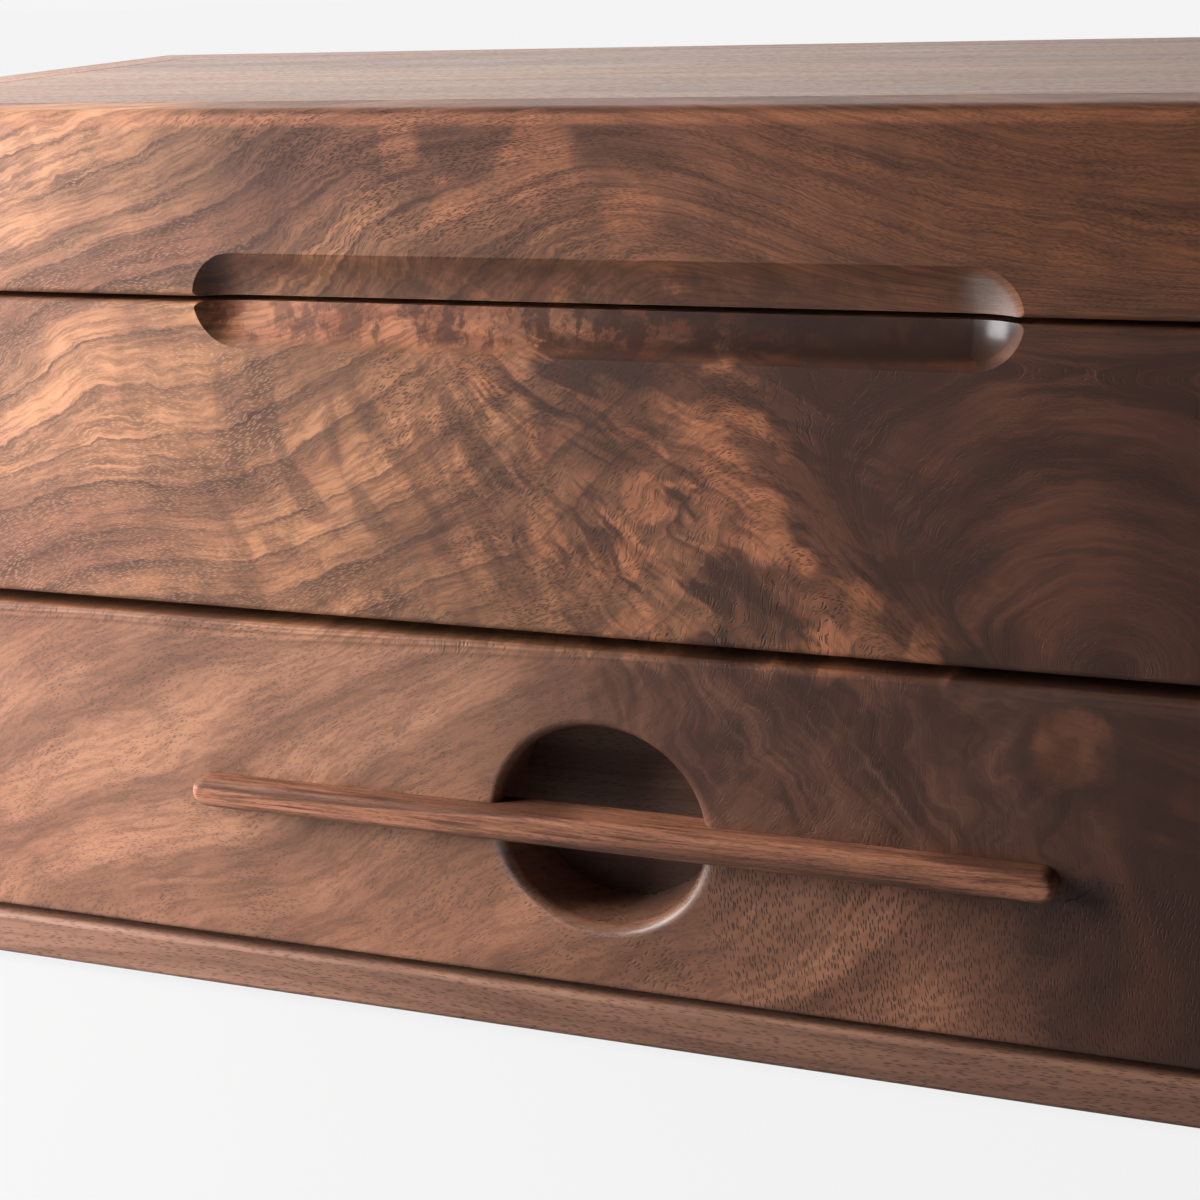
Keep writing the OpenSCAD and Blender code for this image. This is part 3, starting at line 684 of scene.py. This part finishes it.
def crack(x, y, z):
    """A short natural check in the face, to the right of the bar."""
    jag = cloud(x / 1.2, y / 9, z / 1.2, 2) - 0.5
    off_x = x - CRACK_X
    off_z = z - CRACK_Z
    along = off_x * math.cos(CRACK_LEAN) + off_z * math.sin(CRACK_LEAN)
    across = off_z * math.cos(CRACK_LEAN) - off_x * math.sin(CRACK_LEAN) + jag * 0.9
    ends = fade(along, -0.2, 0.5) * fade(along, CRACK_LENGTH, CRACK_LENGTH - 1.5)
    return fade(abs(across), 0.20, 0.06) * ends


def front_pores(at, x, y, z):
    """Pores along the rings. Low on the right of the drawer they are larger and run steeply."""
    low = z.math("LESS_THAN", z, 38)
    steep = x.math("GREATER_THAN", x + z * 0.3, 24) * low
    crowded = fade(cloud(x / 9, at.smooth / 4, y / 30, 2), 0.38, 0.58)
    across = blend(steep, at.smooth, x * 0.9 + at.smooth * 0.3)
    along = blend(steep, x + y * 0.5, z - x * 0.3)
    size = blend(steep, 1.0, STEEP_PORES)
    pores = pores_along(across / size, 0.0, along / size, PORE_WIDTH, PORE_LENGTH, 0.25)
    plenty = (0.4 + crowded * 0.6) * blend(above_drawer(z), 0.65, 1.0)
    pores = pores * blend(steep, plenty, 0.75 + crowded * 0.25) * (1 - at.dark * blend(steep, 0.6, 0.3))
    pores = pores * (1 - fade(at.aside, -20, 10) * fade(z, 113, 116) * 0.4)
    return pores * (1 - at.groove * 0.75) * blend(fade(y, FRONT_Y + 0.1, FRONT_Y + 0.6), 1.0, 0.35)


def figured_walnut(x, y, z):
    at = plank_at(x, y, z)
    pores = front_pores(at, x, y, z)
    up = z - POCKET_Z
    pocket = fade(root(x * x + up * up), POCKET_R + 2.2, POCKET_R + 0.6) * fade(z, 67, 65)
    polished = most(pocket * fade(z, POCKET_Z, POCKET_Z - 6), at.groove * fade(x, 50, 54))
    fibres = cloud(at.smooth / 0.45, (x + z) / 7, y / 9, 3)
    # On the far left, above the drawer, the pores are painted pale: a painted glint of the raking key
    # light.
    glint_share = fade(at.aside, -50, -85) * fade(z, 66, 68)
    hairy = blend(above_drawer(z), 0.34, 0.46) * (1 - fade(at.aside, -50, -22) * fade(z, 116, 110) * 0.5)
    colour = tint(fade(fibres, 0.38, 0.68) * hairy, figured_colour(at), SMOKE)
    colour = tint(pores * blend(glint_share, 0.72, 0.30), colour, tint(glint_share, INK, PORE_GLINT))
    check = crack(x, y, z)
    colour = tint(check * 0.9, colour, INK)
    roughness = 0.48 - polished * 0.2 + pores * 0.25 + (cloud(x / 6, y / 6, z / 4, 2) - 0.5) * 0.2
    height = fibres * 0.3 * (1 - at.dark) - pores - check * 3
    return {**feeds(colour, roughness, height, 0.055), "Coat Weight": polished}


OIL = {"Specular_IOR_Level": 0.35, "Coat_Roughness": 0.24, "Coat_IOR": 2.4}
front_plank = finish("figured walnut", figured_walnut, **OIL)
dress(front_plank, "lid_front_rail", "case_front", "drawer_face")
print("Figured pieces:", [n for n, o in nodes.items() if o.active_material == front_plank])

# %% [markdown]
# ## Plain walnut
# The other boards are straight grained. Each is a piece of a trunk: rings around a pith that lies
# outside the board, drawn out along the length of the board and a little crooked. With rings that go
# through the whole solid, the end of a board shows arcs and its face shows lines, with no further work.
# Every board gets its own pith and its own shift along the trunk, so no two look alike.

# %% Straight-grained boards
SAP = (0.34, 0.155, 0.075)
HEART = (0.20, 0.084, 0.042)
LATE = (0.090, 0.043, 0.028)
WALNUT = (SAP, HEART, LATE)
OILED_ROUGH = 0.42
POLISHED_ROUGH = 0.36
STREAK = 1.1


def board(name, along, pith, shift, step=4.2, tones=WALNUT, contrast=1.0, rough=OILED_ROUGH, streak=STREAK):
    """Walnut or maple with its grain along one axis. The pith is a place on the other two axes, in mm."""
    pale, deep, late = tones

    def recipe(x, y, z):
        length, *across = {"x": (x, y, z), "y": (y, x, z)}[along]
        far = length + shift
        bend = cloud(far / 230, across[0] / 70, across[1] / 70, 1) - 0.5
        wave = cloud(far / 60, across[0] / 14, across[1] / 14, 2) - 0.5
        first = across[0] - pith[0]
        second = across[1] - pith[1]
        growth = root(first * first + second * second) + bend * 30 + wave * 2.4
        uneven = cloud(growth / 17, shift, 0.5, 1) * 2.4
        count = growth / step + uneven
        turn = count.math("FRACT", count)
        year = fade(turn, 0.25, 0.95) * fade(turn, 1.0, 0.90)
        bands = cloud(growth / 13, far / 240, shift, 2)
        aslant = bend * 14 + wave
        one = across[0] + aslant
        other = across[1] + aslant
        streaks = cloud(one / streak, other / streak, far / (35 * streak), 3, 0.6)
        fibres = cloud(one / 0.35, other / 0.35, far / 10, 2)
        pores = pores_along(one, other, far, PORE_WIDTH * 1.45 * streak, PORE_LENGTH * 1.8)
        colour = tint(fade(bands, 0.33, 0.68), pale, deep)
        colour = tint(year * 0.45 * contrast, colour, late)
        colour = tint(fade(streaks, 0.45, 0.68) * 0.5 * contrast, colour, late)
        colour = tint(fade(fibres, 0.35, 0.75) * 0.25 * contrast, colour, late)
        colour = tint(pores * 0.75, colour, late)
        roughness = rough + pores * 0.2 + (cloud(far / 30, across[0] / 6, across[1] / 6, 1) - 0.5) * 0.16
        return feeds(colour, roughness, fibres * 0.3 - pores, 0.035)

    return finish(name, recipe, Specular_IOR_Level=0.3 if rough > POLISHED_ROUGH else 0.5)


BOARDS = {
    "base_panel": ("x", (-100, -60)),
    "case_back": ("x", (130, -40)),
    "case_left_side": ("y", (-190, -50)),
    "case_right_side": ("y", (200, 175)),
    "lid_panel": ("x", (85, 40)),
    "lid_back_rail": ("x", (110, 20)),
    "lid_left_rail": ("y", (-200, 60)),
    "lid_right_rail": ("y", (210, 60)),
    "drawer_pull": ("x", (-58, 190)),
    "drawer_box_front": ("x", (-100, -30)),
    "drawer_box_back": ("x", (90, -50)),
    "drawer_left_side": ("y", (-160, -20)),
    "drawer_right_side": ("y", (170, 120)),
    "drawer_bottom": ("x", (90, -40)),
}
TONES = {
    # The base's tone is its wood, made greyer as a painted reflection of the pale floor in its face.
    "base_panel": ((0.315, 0.161, 0.108), (0.225, 0.112, 0.075)),
    "lid_panel": ((0.28, 0.146, 0.079), (0.170, 0.083, 0.046)),
    "drawer_pull": ((0.45, 0.187, 0.104), (0.25, 0.100, 0.057)),
    # The drawer box's front, which shows at the back of the pocket, gets a darker tone as painted shade in
    # the pocket.
    "drawer_box_front": ((0.18, 0.090, 0.064), (0.12, 0.060, 0.043)),
}
GRAINS = {"drawer_pull": (1.6, 0.45, SMOKE), "base_panel": (0.55, 0.8, SMOKE)}
for order, (name, (along, pith)) in enumerate(BOARDS.items()):
    contrast, streak, late = GRAINS.get(name, (1.0, STREAK, LATE))
    tones = (*TONES.get(name, (SAP, HEART)), late)
    rough = POLISHED_ROUGH if name.startswith("lid_") else OILED_ROUGH
    wood = board(f"walnut {name}", along, pith, 37.0 * order, 4.2, tones, contrast, rough, streak)
    dress(wood, name)
for i in range(1, 5):
    dress(board(f"walnut slat {i}", "y", (60 * i - 200, 10), 91.0 * i), f"tray_slat_{i}")
print("Straight-grained boards:", len(BOARDS) + 4)

# %% [markdown]
# ## Maple, brass and silicone
# The tray floor and the drawer's runners are maple, which slides well and hardly shows its pores. The
# hinges and screws are brushed brass, gone a little dull. The lid lands on two clear silicone dots.
# Brass could be one flat yellow, but real brass has long faint scratches and warm stains, so its
# roughness and colour vary.

# %% Maple, brass and silicone
MAPLE = ((0.62, 0.43, 0.27), (0.50, 0.32, 0.18), (0.36, 0.21, 0.11))
BRASS_CLEAN = (0.80, 0.58, 0.27)
BRASS_STAINED = (0.52, 0.33, 0.14)


def brushed_brass(x, y, z):
    scratches = cloud(x / 5, y / 0.12, z / 0.12, 2)
    stains = cloud(x / 3, y / 3, z / 3, 3)
    colour = tint(fade(stains, 0.45, 0.75) * 0.6, BRASS_CLEAN, BRASS_STAINED)
    roughness = 0.24 + scratches * 0.16 + fade(stains, 0.5, 0.8) * 0.2
    return feeds(colour, roughness, scratches, 0.01)


def clear_silicone(x, y, z):
    haze = cloud(x / 0.8, y / 0.8, z / 0.8, 2)
    return feeds(tint(haze, (0.80, 0.80, 0.77), (0.90, 0.90, 0.88)), 0.25 + haze * 0.2)


MAPLE_BOARDS = {
    "tray_floor": ("x", (20, 330)),
    "drawer_runner_left": ("y", (-210, 0)),
    "drawer_runner_right": ("y", (230, 0)),
}
for order, (name, (along, pith)) in enumerate(MAPLE_BOARDS.items()):
    dress(board(f"maple {name}", along, pith, 53.0 * order, 5, MAPLE, 0.45, 0.38), name)
brass_names = [n for n in nodes if n.startswith("hinge_") or n.endswith("_screws")]
dress(finish("brushed brass", brushed_brass, Metallic=1.0), *brass_names)
print("Brass pieces:", len(brass_names))

# %% [markdown]
# ## Eased edges
# A maker takes the sharp edge off every board with a pass of fine paper, and off hinges with a file. On
# the outside of the box the frame has these rounds already. Inside it doesn't, so a Bevel modifier adds
# them. It acts on what is shown and leaves the frame's own points where they are. Weld comes first,
# because the frame's faces don't share their points, and a bevel needs edges with two faces.

# %% Eased edges of inner boards and hinge leaves
def ease(name, width):
    mesh = nodes[name].data
    mesh.attributes.remove(mesh.attributes["custom_normal"])
    shade_smooth(mesh)
    weld = nodes[name].modifiers.new("weld", "WELD")
    weld.merge_threshold = 0.002 * MM
    round_over = nodes[name].modifiers.new("round over", "BEVEL")
    round_over.width = width * MM
    round_over.segments = 2
    round_over.limit_method = "ANGLE"
    round_over.angle_limit = math.radians(40)
    round_over.harden_normals = True


SIDES = ("left", "right")
EASED = {
    0.4: ["drawer_box_back", "drawer_left_side", "drawer_right_side"]
    + [f"drawer_runner_{side}" for side in SIDES],
    0.15: [f"hinge_{leaf}_leaf_{side}" for leaf in ("case", "lid") for side in SIDES],
}
for width, names in EASED.items():
    for name in names:
        ease(name, width)
print("Eased pieces:", sum(len(names) for names in EASED.values()))

# %% [markdown]
# ## Leather and suede
# The watch cushions are covered in thin tan leather, and the trays are lined with dark suede. Leather
# has a grain of small raised cells with creases between them, which a Voronoi texture gives. Suede has
# no grain but a nap, which lies one way here and another way there, so its shade drifts, and its edge
# glows a little when seen at a low angle. That glow is the shader's sheen.

# %% Leather, thread, suede and felt
LEATHER = (0.250, 0.115, 0.052)
LEATHER_DEEP = (0.130, 0.058, 0.028)
SUEDE = (0.056, 0.043, 0.035)
SUEDE_LIT = (0.098, 0.076, 0.062)


def tan_leather(x, y, z):
    point = x.node("ShaderNodeCombineXYZ", inputs={"X": x, "Y": y, "Z": z})
    cells = x.node(
        "ShaderNodeTexVoronoi",
        {"feature": "DISTANCE_TO_EDGE"},
        {"Vector": point, "Scale": 1.1, "Randomness": 1.0},
    )
    creases = fade(cells, 0.16, 0.0)
    worn = cloud(x / 16, y / 16, z / 10, 3)
    colour = tint(fade(worn, 0.35, 0.7) * 0.45, LEATHER, LEATHER_DEEP)
    colour = tint(creases * 0.5, colour, LEATHER_DEEP)
    roughness = 0.42 + creases * 0.2 + (worn - 0.5) * 0.2
    return feeds(colour, roughness, fade(cells, 0.0, 0.3), 0.06)


def linen_thread(x, y, z):
    ply = cloud(x / 0.3, y / 0.3, z / 0.3, 2)
    return feeds(tint(ply, (0.50, 0.40, 0.27), (0.68, 0.57, 0.42)), 0.6 + ply * 0.2)


def dark_suede(x, y, z):
    brushed = cloud(x / 17, y / 30, z / 17, 3)
    nap = cloud(x / 0.35, y / 0.5, z / 0.35, 2)
    colour = tint(fade(brushed, 0.35, 0.68) * 0.4, SUEDE, SUEDE_LIT)
    colour = tint(fade(nap, 0.4, 0.7) * 0.35, colour, SUEDE_LIT)
    return feeds(colour, 0.85 + nap * 0.1, nap, 0.12)


def grey_felt(x, y, z):
    hairs = cloud(x / 0.5, y / 0.5, z / 0.5, 4, 0.7)
    colour = tint(hairs, (0.030, 0.029, 0.028), (0.075, 0.072, 0.070))
    return feeds(colour, 0.9 + hairs * 0.08, hairs, 0.2)


leather = finish("tan leather", tan_leather, Specular_IOR_Level=0.4)
thread = finish("linen thread", linen_thread, Specular_IOR_Level=0.3)
suede = finish("dark suede", dark_suede, Sheen_Weight=0.3, Sheen_Roughness=0.4, Specular_IOR_Level=0.15)
felt = finish("grey felt", grey_felt, Sheen_Weight=0.3, Specular_IOR_Level=0.1)
silicone = finish("clear silicone", clear_silicone, Transmission_Weight=0.6, IOR=1.41, Coat_Weight=0.2)
print("Soft finishes:", [m.name for m in (leather, thread, suede, felt, silicone)])

# %% [markdown]
# ## Watch cushions
# A watch cushion is a stuffed roll: one strip of leather goes round it, an oval panel closes each end,
# and a piped seam joins them. It could be drawn as a rounded box, but stuffing pushes out where nothing
# holds it, and the seams hold it in. So a slightly small cushion is blown up with Blender's cloth, with
# its seams pinned. The frame gives the room: the cushion may not swell into the slats beside it.

# %% A cushion before it is stuffed
CUSHION_SLACK = 1.2
PANEL_BULGE = 2.4
OVAL_POWER = 2.5
SEAM_DRAWN_IN = 0.94


def oval(turn, half_length, half_height):
    """A point of the rounded oblong that the cushion has in section."""
    c, s = math.cos(turn), math.sin(turn)
    return (
        half_length * math.copysign(abs(c) ** (2 / OVAL_POWER), c),
        half_height * math.copysign(abs(s) ** (2 / OVAL_POWER), s),
    )


def mesh_object(name, build):
    """A new object whose mesh is made by a function that fills a bmesh."""
    mesh = bpy.data.meshes.new(name)
    shape = bmesh.new()
    build(shape)
    bmesh.ops.recalc_face_normals(shape, faces=shape.faces)
    shape.to_mesh(mesh)
    shape.free()
    made = bpy.data.objects.new(name, mesh)
    scene.collection.objects.link(made)
    return made


def loft(shape, rings):
    """Joins rings of points by faces, and closes both ends at a middle point."""
    rows = [[shape.verts.new(point) for point in ring] for ring in rings]
    count = len(rows[0])
    for a, b in zip(rows, rows[1:]):
        for i in range(count):
            shape.faces.new((a[i], a[(i + 1) % count], b[(i + 1) % count], b[i]))
    for row in (rows[0], rows[-1]):
        middle = shape.verts.new(sum((v.co for v in row), Vector()) / count)
        for i in range(count):
            shape.faces.new((row[i], row[(i + 1) % count], middle))


def cushion_rings(half, seam_x):
    """Rings of an unstuffed cushion along X: an end panel, the strip, and the other end panel."""
    stations = [(seam_x + PANEL_BULGE * (1 - share * share), share) for share in (0.25, 0.5, 0.75, 0.92)]
    panel = [(x, SEAM_DRAWN_IN * share) for x, share in stations]
    strip = []
    for i in range(13):
        t = 1 - i / 6
        strip.append((seam_x * t, 1 - (1 - SEAM_DRAWN_IN) * abs(t) ** 3))
    outline = panel + strip + [(-x, share) for x, share in reversed(panel)]
    turns = [2 * math.pi * k / 64 for k in range(64)]
    return [[(x, *oval(turn, half.y * share, half.z * share)) for turn in turns] for x, share in outline]


room_low, room_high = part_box("watch_cushion_3")
room = (room_high - room_low) / MM
half = room / 2 - Vector((CUSHION_SLACK, CUSHION_SLACK, CUSHION_SLACK))
seam_x = half.x - PANEL_BULGE
rings_in_m = [[Vector(point) * MM for point in ring] for ring in cushion_rings(half, seam_x)]
cushion = mesh_object("cushion", lambda shape: loft(shape, rings_in_m))
print("An empty cushion measures", in_mm(cushion.dimensions), "mm in a room of", in_mm(room * MM))

# %% [markdown]
# The empty cushion is remeshed into even small faces and blown up for twenty frames. Points near the
# seams are pinned, no point may move further than the cap, and no point may leave the room that the
# frame gives.

# %% Stuffing the cushion
VOXEL = 2.4
STUFFING_FRAMES = 20
SWELL_CAP = 1.5


def into_room(point):
    """A point moved back into the cushion's room, where it lies outside."""
    limit = room / 2 * MM
    return Vector(max(-m, min(m, c)) for c, m in zip(point, limit))


def stuff(piece):
    remesh = piece.modifiers.new("remesh", "REMESH")
    remesh.voxel_size = VOXEL * MM
    apply_modifiers(piece)
    start = [v.co.copy() for v in piece.data.vertices]
    on_seam = [i for i, p in enumerate(start) if abs(abs(p.x) / MM - seam_x) < VOXEL * 0.6]
    piece.vertex_groups.new(name="seams").add(on_seam, 1, "REPLACE")
    cloth = piece.modifiers.new("stuffing", "CLOTH")
    cloth.settings.use_pressure = True
    cloth.settings.uniform_pressure_force = 4
    cloth.settings.vertex_group_mass = "seams"
    cloth.settings.effector_weights.gravity = 0
    cloth.point_cache.frame_end = STUFFING_FRAMES
    for number in range(1, STUFFING_FRAMES + 1):
        scene.frame_set(number)
    apply_modifiers(piece)
    scene.frame_set(1)
    for vertex, was in zip(piece.data.vertices, start):
        move = vertex.co - was
        if move.length > SWELL_CAP * MM:
            vertex.co = was + move.normalized() * SWELL_CAP * MM
    piece.vertex_groups.clear()


def apply_modifiers(piece):
    """Makes what the modifiers show into the piece's own mesh."""
    shown = piece.evaluated_get(bpy.context.evaluated_depsgraph_get())
    mesh = bpy.data.meshes.new_from_object(shown)
    piece.modifiers.clear()
    old = piece.data
    piece.data = mesh
    bpy.data.meshes.remove(old)


stuff(cushion)
print("A stuffed cushion measures", in_mm(cushion.dimensions), "mm")

# %% [markdown]
# Now the seams. Beside each seam the leather is drawn down into a valley, with small puckers where the
# thread pulls. The piping is a cord that lies in the seam, and the stitches are short bent rods beside
# it. All of them follow the stuffed surface, which is found by shooting rays at it from outside.

# %% Seam valleys, piping and stitches
VALLEY_DEPTH = 0.8
VALLEY_REACH = 3.2
PUCKERS = 26
PIPING_R = 0.85
STITCH_R = 0.24
STITCH_LENGTH = 2.0
STITCH_PITCH = 3.4
STITCH_ASIDE = 2.3


def draw_in_seams(piece):
    for vertex in piece.data.vertices:
        p = vertex.co / MM
        aside = abs(abs(p.x) - seam_x)
        turn = math.atan2(p.z / half.z, p.y / half.y)
        pucker = 0.5 + 0.5 * math.sin(PUCKERS * turn + 3 * noise.noise(p / 14))
        pull = VALLEY_DEPTH * math.exp(-((aside / VALLEY_REACH) ** 2)) * (0.55 + 0.45 * pucker)
        lump = 0.35 * noise.noise(p / 11) + 0.18 * noise.noise(p / 4.5)
        inward = Vector((0.15 * p.x, p.y, p.z)).normalized()
        vertex.co = into_room((p - inward * (pull - lump * (1 - pull / VALLEY_DEPTH))) * MM)


def ring_on(tree, x, count, lift):
    """Points round the cushion at one x, on its surface and lifted off it."""
    points = []
    for k in range(count):
        turn = 2 * math.pi * k / count
        out = Vector((0, *oval(turn, 2 * half.y, 2 * half.z))) * MM
        middle = Vector((x * MM, 0, 0))
        hit, normal, _, _ = tree.ray_cast(middle + out, -out)
        points.append(hit + normal * lift * MM)
    return points


def tube(shape, path, radii, closed):
    """A round rod along a path, with one radius to each of its points."""
    rows = []
    for i, point in enumerate(path):
        before = path[i - 1] if closed or i else point
        after = path[(i + 1) % len(path)] if closed or i + 1 < len(path) else point
        along = (after - before).normalized()
        side = along.cross(Vector((0, 0, 1)) if abs(along.z) < 0.8 else Vector((1, 0, 0))).normalized()
        up = side.cross(along)
        turns = [2 * math.pi * k / 8 for k in range(8)]
        rows.append([point + (side * math.cos(t) + up * math.sin(t)) * radii[i] * MM for t in turns])
    if not closed:
        loft(shape, rows)
        return
    made = [[shape.verts.new(p) for p in row] for row in rows]
    for i, a in enumerate(made):
        b = made[(i + 1) % len(made)]
        spin = min(range(8), key=lambda s: (b[s].co - a[0].co).length)
        for k in range(8):
            shape.faces.new((a[k], a[(k + 1) % 8], b[(k + 1 + spin) % 8], b[(k + spin) % 8]))


def piping(shape):
    for side in (-1, 1):
        path = ring_on(surface, side * seam_x, 120, PIPING_R * 0.35)
        tube(shape, path, [PIPING_R] * len(path), True)


def stitches(shape):
    for side in (-1, 1):
        fine = ring_on(surface, side * (seam_x - STITCH_ASIDE), 1200, STITCH_R * 0.4)
        travelled, next_start = 0, 0
        lengths = [(b - a).length / MM for a, b in zip(fine, fine[1:])]
        for i, length in enumerate(lengths):
            if travelled >= next_start:
                steps = max(2, round(STITCH_LENGTH / max(length, 0.05) / 4))
                path = [fine[(i + steps * k) % len(fine)] for k in range(5)]
                tube(shape, path, [STITCH_R * f for f in (0.35, 0.9, 1, 0.9, 0.35)], False)
                next_start = travelled + STITCH_PITCH
            travelled += length


draw_in_seams(cushion)
shade_smooth(cushion.data)
surface = BVHTree.FromObject(cushion, bpy.context.evaluated_depsgraph_get())
piping_mesh = mesh_object("piping", piping)
stitch_mesh = mesh_object("stitches", stitches)
print("Piping has", len(piping_mesh.data.polygons), "faces, and stitches", len(stitch_mesh.data.polygons))

# %% [markdown]
# The same stuffed cushion is used five times. Turned end for end or side for side, it shows another
# face each time, so the row doesn't look copied. Each cushion takes the place of its plain solid in the
# frame.

# %% Five cushions in their row
SEWN = ((cushion, "", leather), (piping_mesh, "_piping", leather), (stitch_mesh, "_stitches", thread))


def place_cushion(number):
    low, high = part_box(f"watch_cushion_{number}")
    middle = (low + high) / 2
    flip = Vector((-1 if number % 2 else 1, -1 if number in (2, 3) else 1, 1))
    name = f"stuffed_cushion_{number}"
    pieces = []
    for source, suffix, material in SEWN:
        copy = bpy.data.objects.new(name + suffix, source.data.copy())
        scene.collection.objects.link(copy)
        for vertex in copy.data.vertices:
            vertex.co = middle + Vector(c * f for c, f in zip(vertex.co, flip))
        if flip.x * flip.y < 0:
            copy.data.flip_normals()
        copy.data.materials.clear()
        copy.data.materials.append(material)
        shade_smooth(copy.data)
        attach(copy, "case")
        pieces.append(copy)
    pieces[0].modifiers.new("smooth", "SUBSURF").levels = 1
    pieces[0].modifiers["smooth"].render_levels = 1
    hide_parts(f"watch_cushion_{number}")
    return pieces[0]


row = [place_cushion(number) for number in range(1, 6)]
for source, suffix, material in SEWN:
    bpy.data.objects.remove(source)
print("Cushions in the tray:", [piece.name for piece in row])

# %% [markdown]
# ## Suede linings
# The lid, the tray and the drawer are lined with suede on thin card. At the edges the suede is turned
# round the card, so the edge is a soft roll, and the face is never quite flat. Each lining is a fine
# grid whose edge rolls over and whose face is a little uneven.

# %% Linings
ROLL = 0.9
UNEVEN = 0.14
GRID = 2.5


def lining(node, name, body, faces_up=True):
    low, high = (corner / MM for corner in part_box(node))
    counts = [round((high[k] - low[k]) / GRID) for k in range(2)]
    sides = [[low[k] + ROLL * (1 - math.cos(t * math.pi / 2)) for t in (0, 0.4, 0.7)] for k in range(2)]
    lines = []
    for k in range(2):
        inside = high[k] - low[k] - 2 * ROLL
        inner = [low[k] + ROLL + inside * i / counts[k] for i in range(counts[k] + 1)]
        lines.append(sides[k] + inner + [low[k] + high[k] - c for c in reversed(sides[k])])

    def height(x, y):
        edge = min(x - low.x, high.x - x, y - low.y, high.y - y)
        inset = max(0, ROLL - edge)
        drop = ROLL - math.sqrt(max(0, ROLL * ROLL - inset * inset))
        swell = noise.noise(Vector((x / 9, y / 9, low.z)))
        ripple = noise.noise(Vector((x / 3, y / 3, 7)))
        sink = UNEVEN * (0.5 + swell + 0.4 * ripple)
        fall = min(high.z - low.z - 0.2, drop + max(0, sink) * min(1, edge))
        return high.z - fall if faces_up else low.z + fall

    def build(shape):
        under = low.z if faces_up else high.z
        rows = [[shape.verts.new(Vector((x, y, height(x, y))) * MM) for y in lines[1]] for x in lines[0]]
        for a, b in zip(rows, rows[1:]):
            for i in range(len(a) - 1):
                shape.faces.new((a[i], a[i + 1], b[i + 1], b[i]))
        rim = rows[0] + [r[-1] for r in rows[1:]] + rows[-1][-2::-1] + [r[0] for r in rows[-2:0:-1]]
        foot = [shape.verts.new(Vector((v.co.x, v.co.y, under * MM))) for v in rim]
        for i in range(len(rim)):
            j = (i + 1) % len(rim)
            shape.faces.new((rim[i], rim[j], foot[j], foot[i]))
        shape.faces.new(foot)

    piece = mesh_object(name, build)
    piece.data.materials.append(suede)
    piece.data.polygons.foreach_set("use_smooth", [len(p.vertices) == 4 for p in piece.data.polygons])
    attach(piece, body)
    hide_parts(node)
    return piece


lined = [
    lining("tray_lining", "tray_suede", "case"),
    lining("drawer_lining", "drawer_suede", "drawer"),
    lining("lid_lining", "lid_suede", "lid", faces_up=False),
]
print("Linings:", {piece.name: len(piece.data.polygons) for piece in lined})

# %% [markdown]
# ## Felt pads and silicone dots
# The box stands on four felt pads, the drawer stops on two more, and the lid lands on two domes of
# silicone. Felt is punched from a sheet, so its edge is a little soft and its face uneven. Each pad is
# turned from a profile on a lathe of code, and the points of the felt are then moved a little. The
# moves come from noise with a fixed seed, so that they are the same each time.

# %% Pads and dots
noise.seed_set(1)


def turned(shape, centre, axis, profile, sides=40, rough=0):
    """Turns a profile of radius and height about an axis through a centre, in millimetres."""
    rings = []
    for radius, height in profile:
        ring = []
        for k in range(sides):
            turn = 2 * math.pi * k / sides
            flat = [radius * math.cos(turn), radius * math.sin(turn)]
            flat.insert(axis, height)
            point = centre + Vector(flat)
            ring.append((point + Vector(noise.noise_vector(point * 1.7)) * rough) * MM)
        rings.append(ring)
    loft(shape, rings)


def pads(node, name, body, material, axis, radius, profile, rough):
    """Turned pads at every corner of a node's box, in place of its plain solids."""
    low, high = (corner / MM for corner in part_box(node))
    spots = [{round(low[k] + radius, 4), round(high[k] - radius, 4)} for k in range(3)]
    spots[axis] = {low[axis]}
    thick = high[axis] - low[axis]

    def build(shape):
        for corner in product(*(sorted(spots[k]) for k in range(3))):
            turned(shape, Vector(corner), axis, [(radius * r, thick * h) for r, h in profile], rough=rough)

    piece = mesh_object(name, build)
    piece.data.materials.append(material)
    shade_smooth(piece.data)
    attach(piece, body)
    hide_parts(node)
    return piece


FELT_EDGE = [(0.3, 0.03), (0.6, 0.03), (0.92, 0.04), (0.97, 0.2)]
FELT_PROFILE = FELT_EDGE + [(0.97, 0.8), (0.92, 0.96), (0.6, 0.97), (0.3, 0.97)]
DOME_PROFILE = [(0.5, 0.0), (0.97, 0.0), (0.99, 0.2), (0.93, 0.5), (0.78, 0.8), (0.5, 0.95), (0.25, 1.0)]
feet = pads("foot_pads", "felt_feet", "case", felt, 2, 8, FELT_PROFILE, 0.04)
stops = pads("drawer_bumpers", "felt_drawer_stops", "case", felt, 1, 5, FELT_PROFILE, 0.04)
dots = pads("lid_dots", "silicone_dots", "case", silicone, 2, 3, DOME_PROFILE, 0)
print("Pads and dots:", {piece.name: len(piece.data.polygons) for piece in (feet, stops, dots)})
